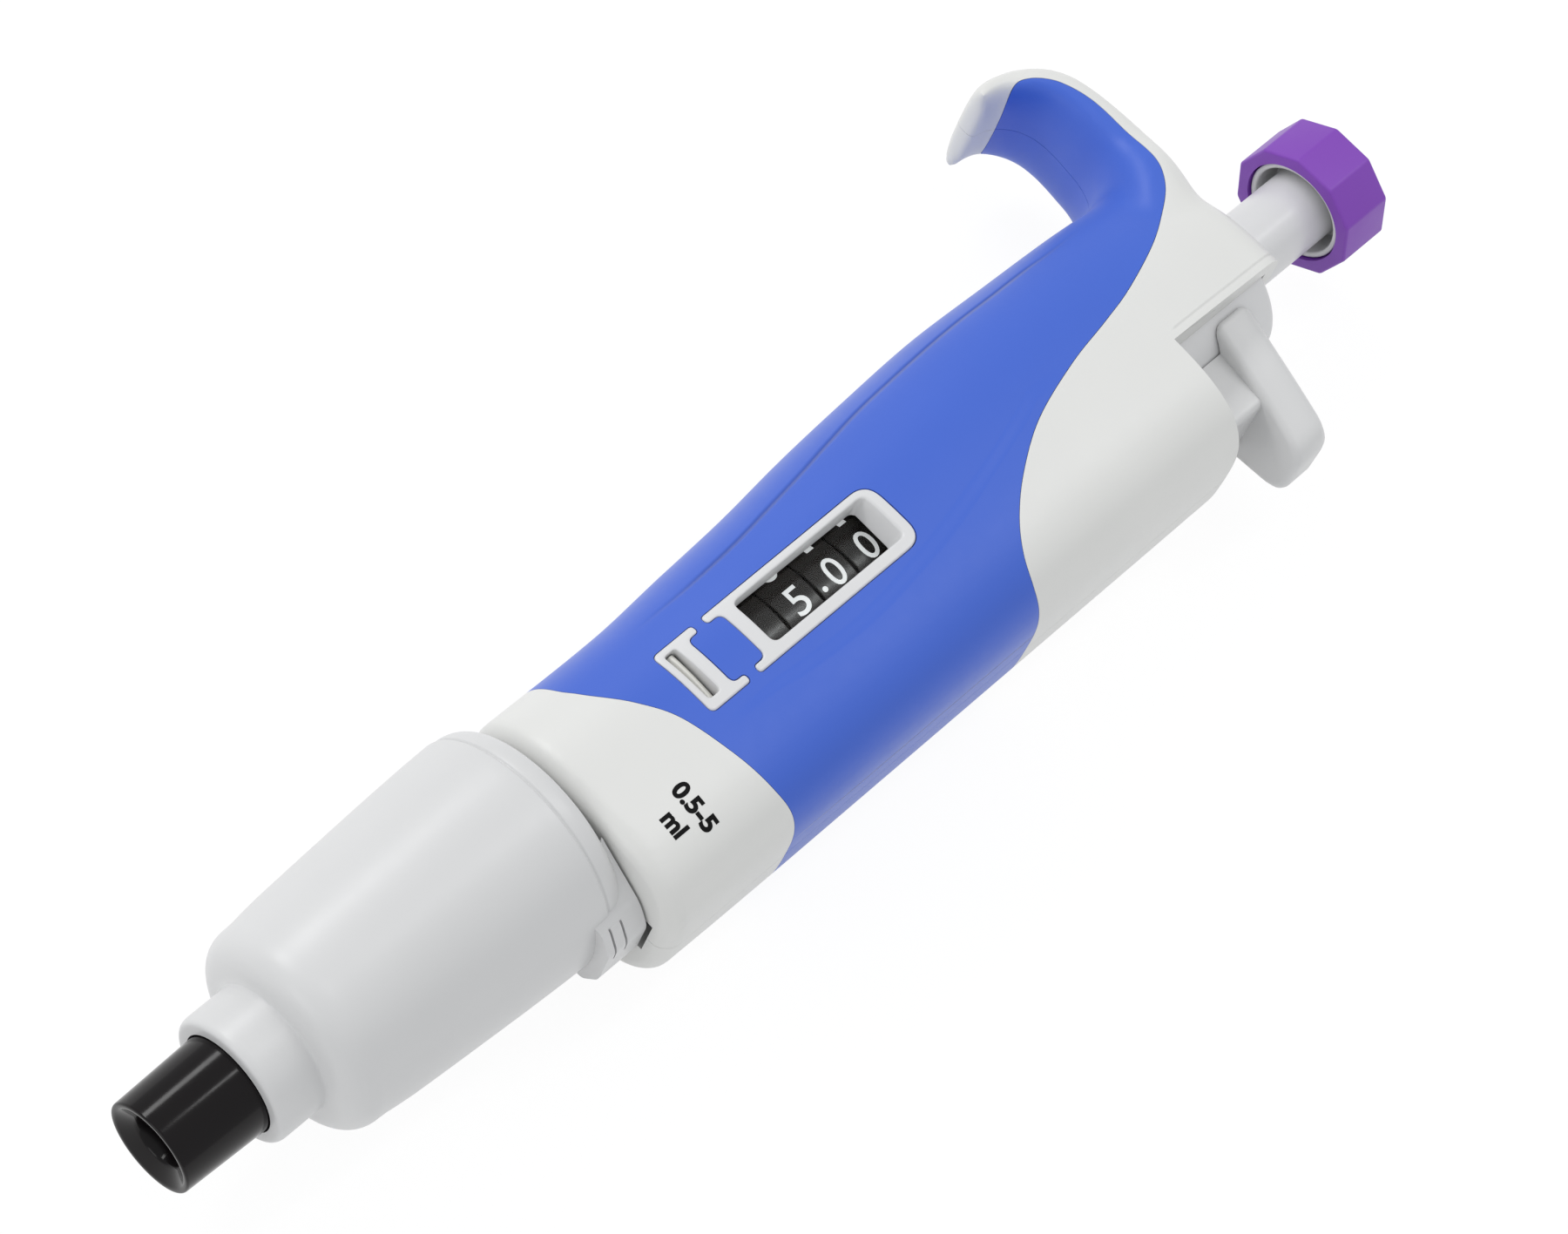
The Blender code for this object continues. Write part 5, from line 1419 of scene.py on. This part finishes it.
def studio_world(scene):
    world = bpy.data.worlds.new("studio")
    scene.world = world
    world.use_nodes = True
    nodes, links = world.node_tree.nodes, world.node_tree.links
    room = nodes["Background"]
    room.inputs["Color"].default_value = (0.97, 0.985, 1.0, 1.0)
    room.inputs["Strength"].default_value = scene.pipette_studio.fill
    white = nodes.new("ShaderNodeBackground")
    white.inputs["Color"].default_value = (1.0, 1.0, 1.0, 1.0)
    path = nodes.new("ShaderNodeLightPath")
    mix = nodes.new("ShaderNodeMixShader")
    links.new(path.outputs["Is Camera Ray"], mix.inputs["Fac"])
    links.new(room.outputs["Background"], mix.inputs[1])
    links.new(white.outputs["Background"], mix.inputs[2])
    links.new(mix.outputs["Shader"], nodes["World Output"].inputs["Surface"])


def studio_lamp(name, place, target, size, power):
    """A soft rectangular lamp that faces a point, both given on the pipette's axis."""
    lamp = bpy.data.lights.new(name, "AREA")
    lamp.shape = "RECTANGLE"
    lamp.size, lamp.size_y = size
    lamp.energy = power
    obj = scratch(name, lamp)
    start = TO_FRAME @ Vector(place)
    obj.location = start
    obj.rotation_euler = (TO_FRAME @ Vector(target) - start).to_track_quat("-Z", "Y").to_euler()


def studio_camera(scene):
    """The photograph's camera: leaning to the nozzle and the lever's side, and rolled."""
    looks = scene.pipette_studio
    back = Vector(
        (
            -math.sin(CAMERA_TILT),
            -math.cos(CAMERA_TILT) * math.sin(CAMERA_LEAN),
            math.cos(CAMERA_TILT) * math.cos(CAMERA_LEAN),
        )
    )
    along = (Vector((1.0, 0.0, 0.0)) - back * back.x).normalized()
    across = back.cross(along)
    right = along * math.cos(CAMERA_ROLL) - across * math.sin(CAMERA_ROLL)
    up = along * math.sin(CAMERA_ROLL) + across * math.cos(CAMERA_ROLL)
    data = bpy.data.cameras.new("photo_camera")
    data.sensor_width = 36.0
    data.lens = looks.lens
    data.clip_start = 0.01
    camera = scratch("photo_camera", data)
    turn = Matrix((right, up, back)).transposed().to_4x4()
    camera.matrix_world = Matrix.Translation(TO_FRAME @ (TARGET + back * CAMERA_DISTANCE)) @ turn
    scene.camera = camera


class PIPETTE_OT_stage(bpy.types.Operator):
    """Set up the floor, the lamps and the camera"""

    bl_idname = "pipette.stage"
    bl_label = "Studio"

    def execute(self, context):
        scene = context.scene
        looks = scene.pipette_studio
        studio_floor(scene)
        studio_world(scene)
        for name, place, aim, size in LAMPS:
            studio_lamp(name + "_lamp", place, (aim, 0.0, 0.0), size, getattr(looks, name + "_power"))
        studio_camera(scene)
        scene.view_settings.view_transform = "Standard"
        return {"FINISHED"}


# Settings and panel


class PipetteSizes(bpy.types.PropertyGroup):
    joint_gap: FloatProperty(
        name="Joint line",
        description="Width of the line between the housing and the grip, and between the two halves",
        default=0.00008,
        unit="LENGTH",
    )
    skin_cell: FloatProperty(
        name="Skin fineness",
        description="Edge length of the faces on the handle's skin",
        default=0.0005,
        unit="LENGTH",
    )
    digit_height: FloatProperty(
        name="Digit height", description="Height of the counter's digits", default=0.0044, unit="LENGTH"
    )
    digit_width: FloatProperty(
        name="Digit width", description="Width of the counter's digits", default=0.0027, unit="LENGTH"
    )
    range_text: StringProperty(
        name="Range", description="Volume range printed on the housing", default="0.5-5"
    )


def colour_property(name, description, default):
    return FloatVectorProperty(
        name=name, description=description, subtype="COLOR", size=3, min=0.0, max=1.0, default=default
    )


class PipetteColours(bpy.types.PropertyGroup):
    housing: colour_property("Housing", "Warm white of the housing shells", (0.77, 0.77, 0.75))
    sleeve: colour_property("Sleeve", "Cool white of the sleeve and the lever", (0.70, 0.70, 0.70))
    grip: colour_property("Grip", "Blue of the soft grip", (0.046, 0.130, 0.63))
    knob: colour_property("Knob", "Purple of the knob", (0.225, 0.054, 0.48))
    nozzle: colour_property("Tip cone", "Black of the tip cone", (0.007, 0.0055, 0.006))
    wheels: colour_property("Wheels", "Black of the number wheels", (0.018, 0.0135, 0.011))
    digits: colour_property("Digits", "White of the digits", (0.97, 0.97, 0.96))


class PipetteStudio(bpy.types.PropertyGroup):
    floor_colour: colour_property("Floor", "Colour of the floor", (0.88, 0.88, 0.88))
    floor_size: FloatProperty(
        name="Floor size", description="Side of the floor", default=8.0, unit="LENGTH"
    )
    floor_glow: FloatProperty(
        name="Floor white",
        description="Share of plain white in the floor as the camera sees it",
        default=0.88,
    )
    fill: FloatProperty(name="Fill", description="Strength of the room's even light", default=0.64)
    key_power: FloatProperty(
        name="Key lamp", description="Power on the hook's side", default=1.5, unit="POWER"
    )
    top_power: FloatProperty(
        name="Top lamp", description="Power over the window", default=0.8, unit="POWER"
    )
    end_power: FloatProperty(
        name="End lamp", description="Power at the nozzle's end", default=0.3, unit="POWER"
    )
    lens: FloatProperty(name="Lens", description="Focal length in millimetres", default=107.0)


STEPS = (
    PIPETTE_OT_handle,
    PIPETTE_OT_windows,
    PIPETTE_OT_counter,
    PIPETTE_OT_legend,
    PIPETTE_OT_nozzle,
    PIPETTE_OT_sleeve,
    PIPETTE_OT_lever,
    PIPETTE_OT_knob,
    PIPETTE_OT_core,
    PIPETTE_OT_inner_finishes,
    PIPETTE_OT_stage,
)


class PIPETTE_PT_panel(bpy.types.Panel):
    """Pieces of the pipette, in the order they are built"""

    bl_idname = "PIPETTE_PT_panel"
    bl_label = "Hand Pipette"
    bl_space_type = "VIEW_3D"
    bl_region_type = "UI"
    bl_category = "Pipette"

    def draw(self, context):
        column = self.layout.column(align=True)
        for step in STEPS:
            column.operator(step.bl_idname)
        for group in ("pipette_sizes", "pipette_colours", "pipette_studio"):
            settings = getattr(context.scene, group)
            box_layout = self.layout.box()
            for name in settings.__annotations__:
                box_layout.prop(settings, name)


GROUPS = (
    ("pipette_sizes", PipetteSizes),
    ("pipette_colours", PipetteColours),
    ("pipette_studio", PipetteStudio),
)


def register():
    for _, group in GROUPS:
        bpy.utils.register_class(group)
    for name, group in GROUPS:
        setattr(bpy.types.Scene, name, PointerProperty(type=group))
    for step in STEPS:
        bpy.utils.register_class(step)
    bpy.utils.register_class(PIPETTE_PT_panel)


def unregister():
    bpy.utils.unregister_class(PIPETTE_PT_panel)
    for step in reversed(STEPS):
        bpy.utils.unregister_class(step)
    for name, group in reversed(GROUPS):
        delattr(bpy.types.Scene, name)
        bpy.utils.unregister_class(group)


def main():
    register()
    for step in STEPS:
        group, name = step.bl_idname.split(".")
        getattr(getattr(bpy.ops, group), name)()


if __name__ == "__main__":
    main()
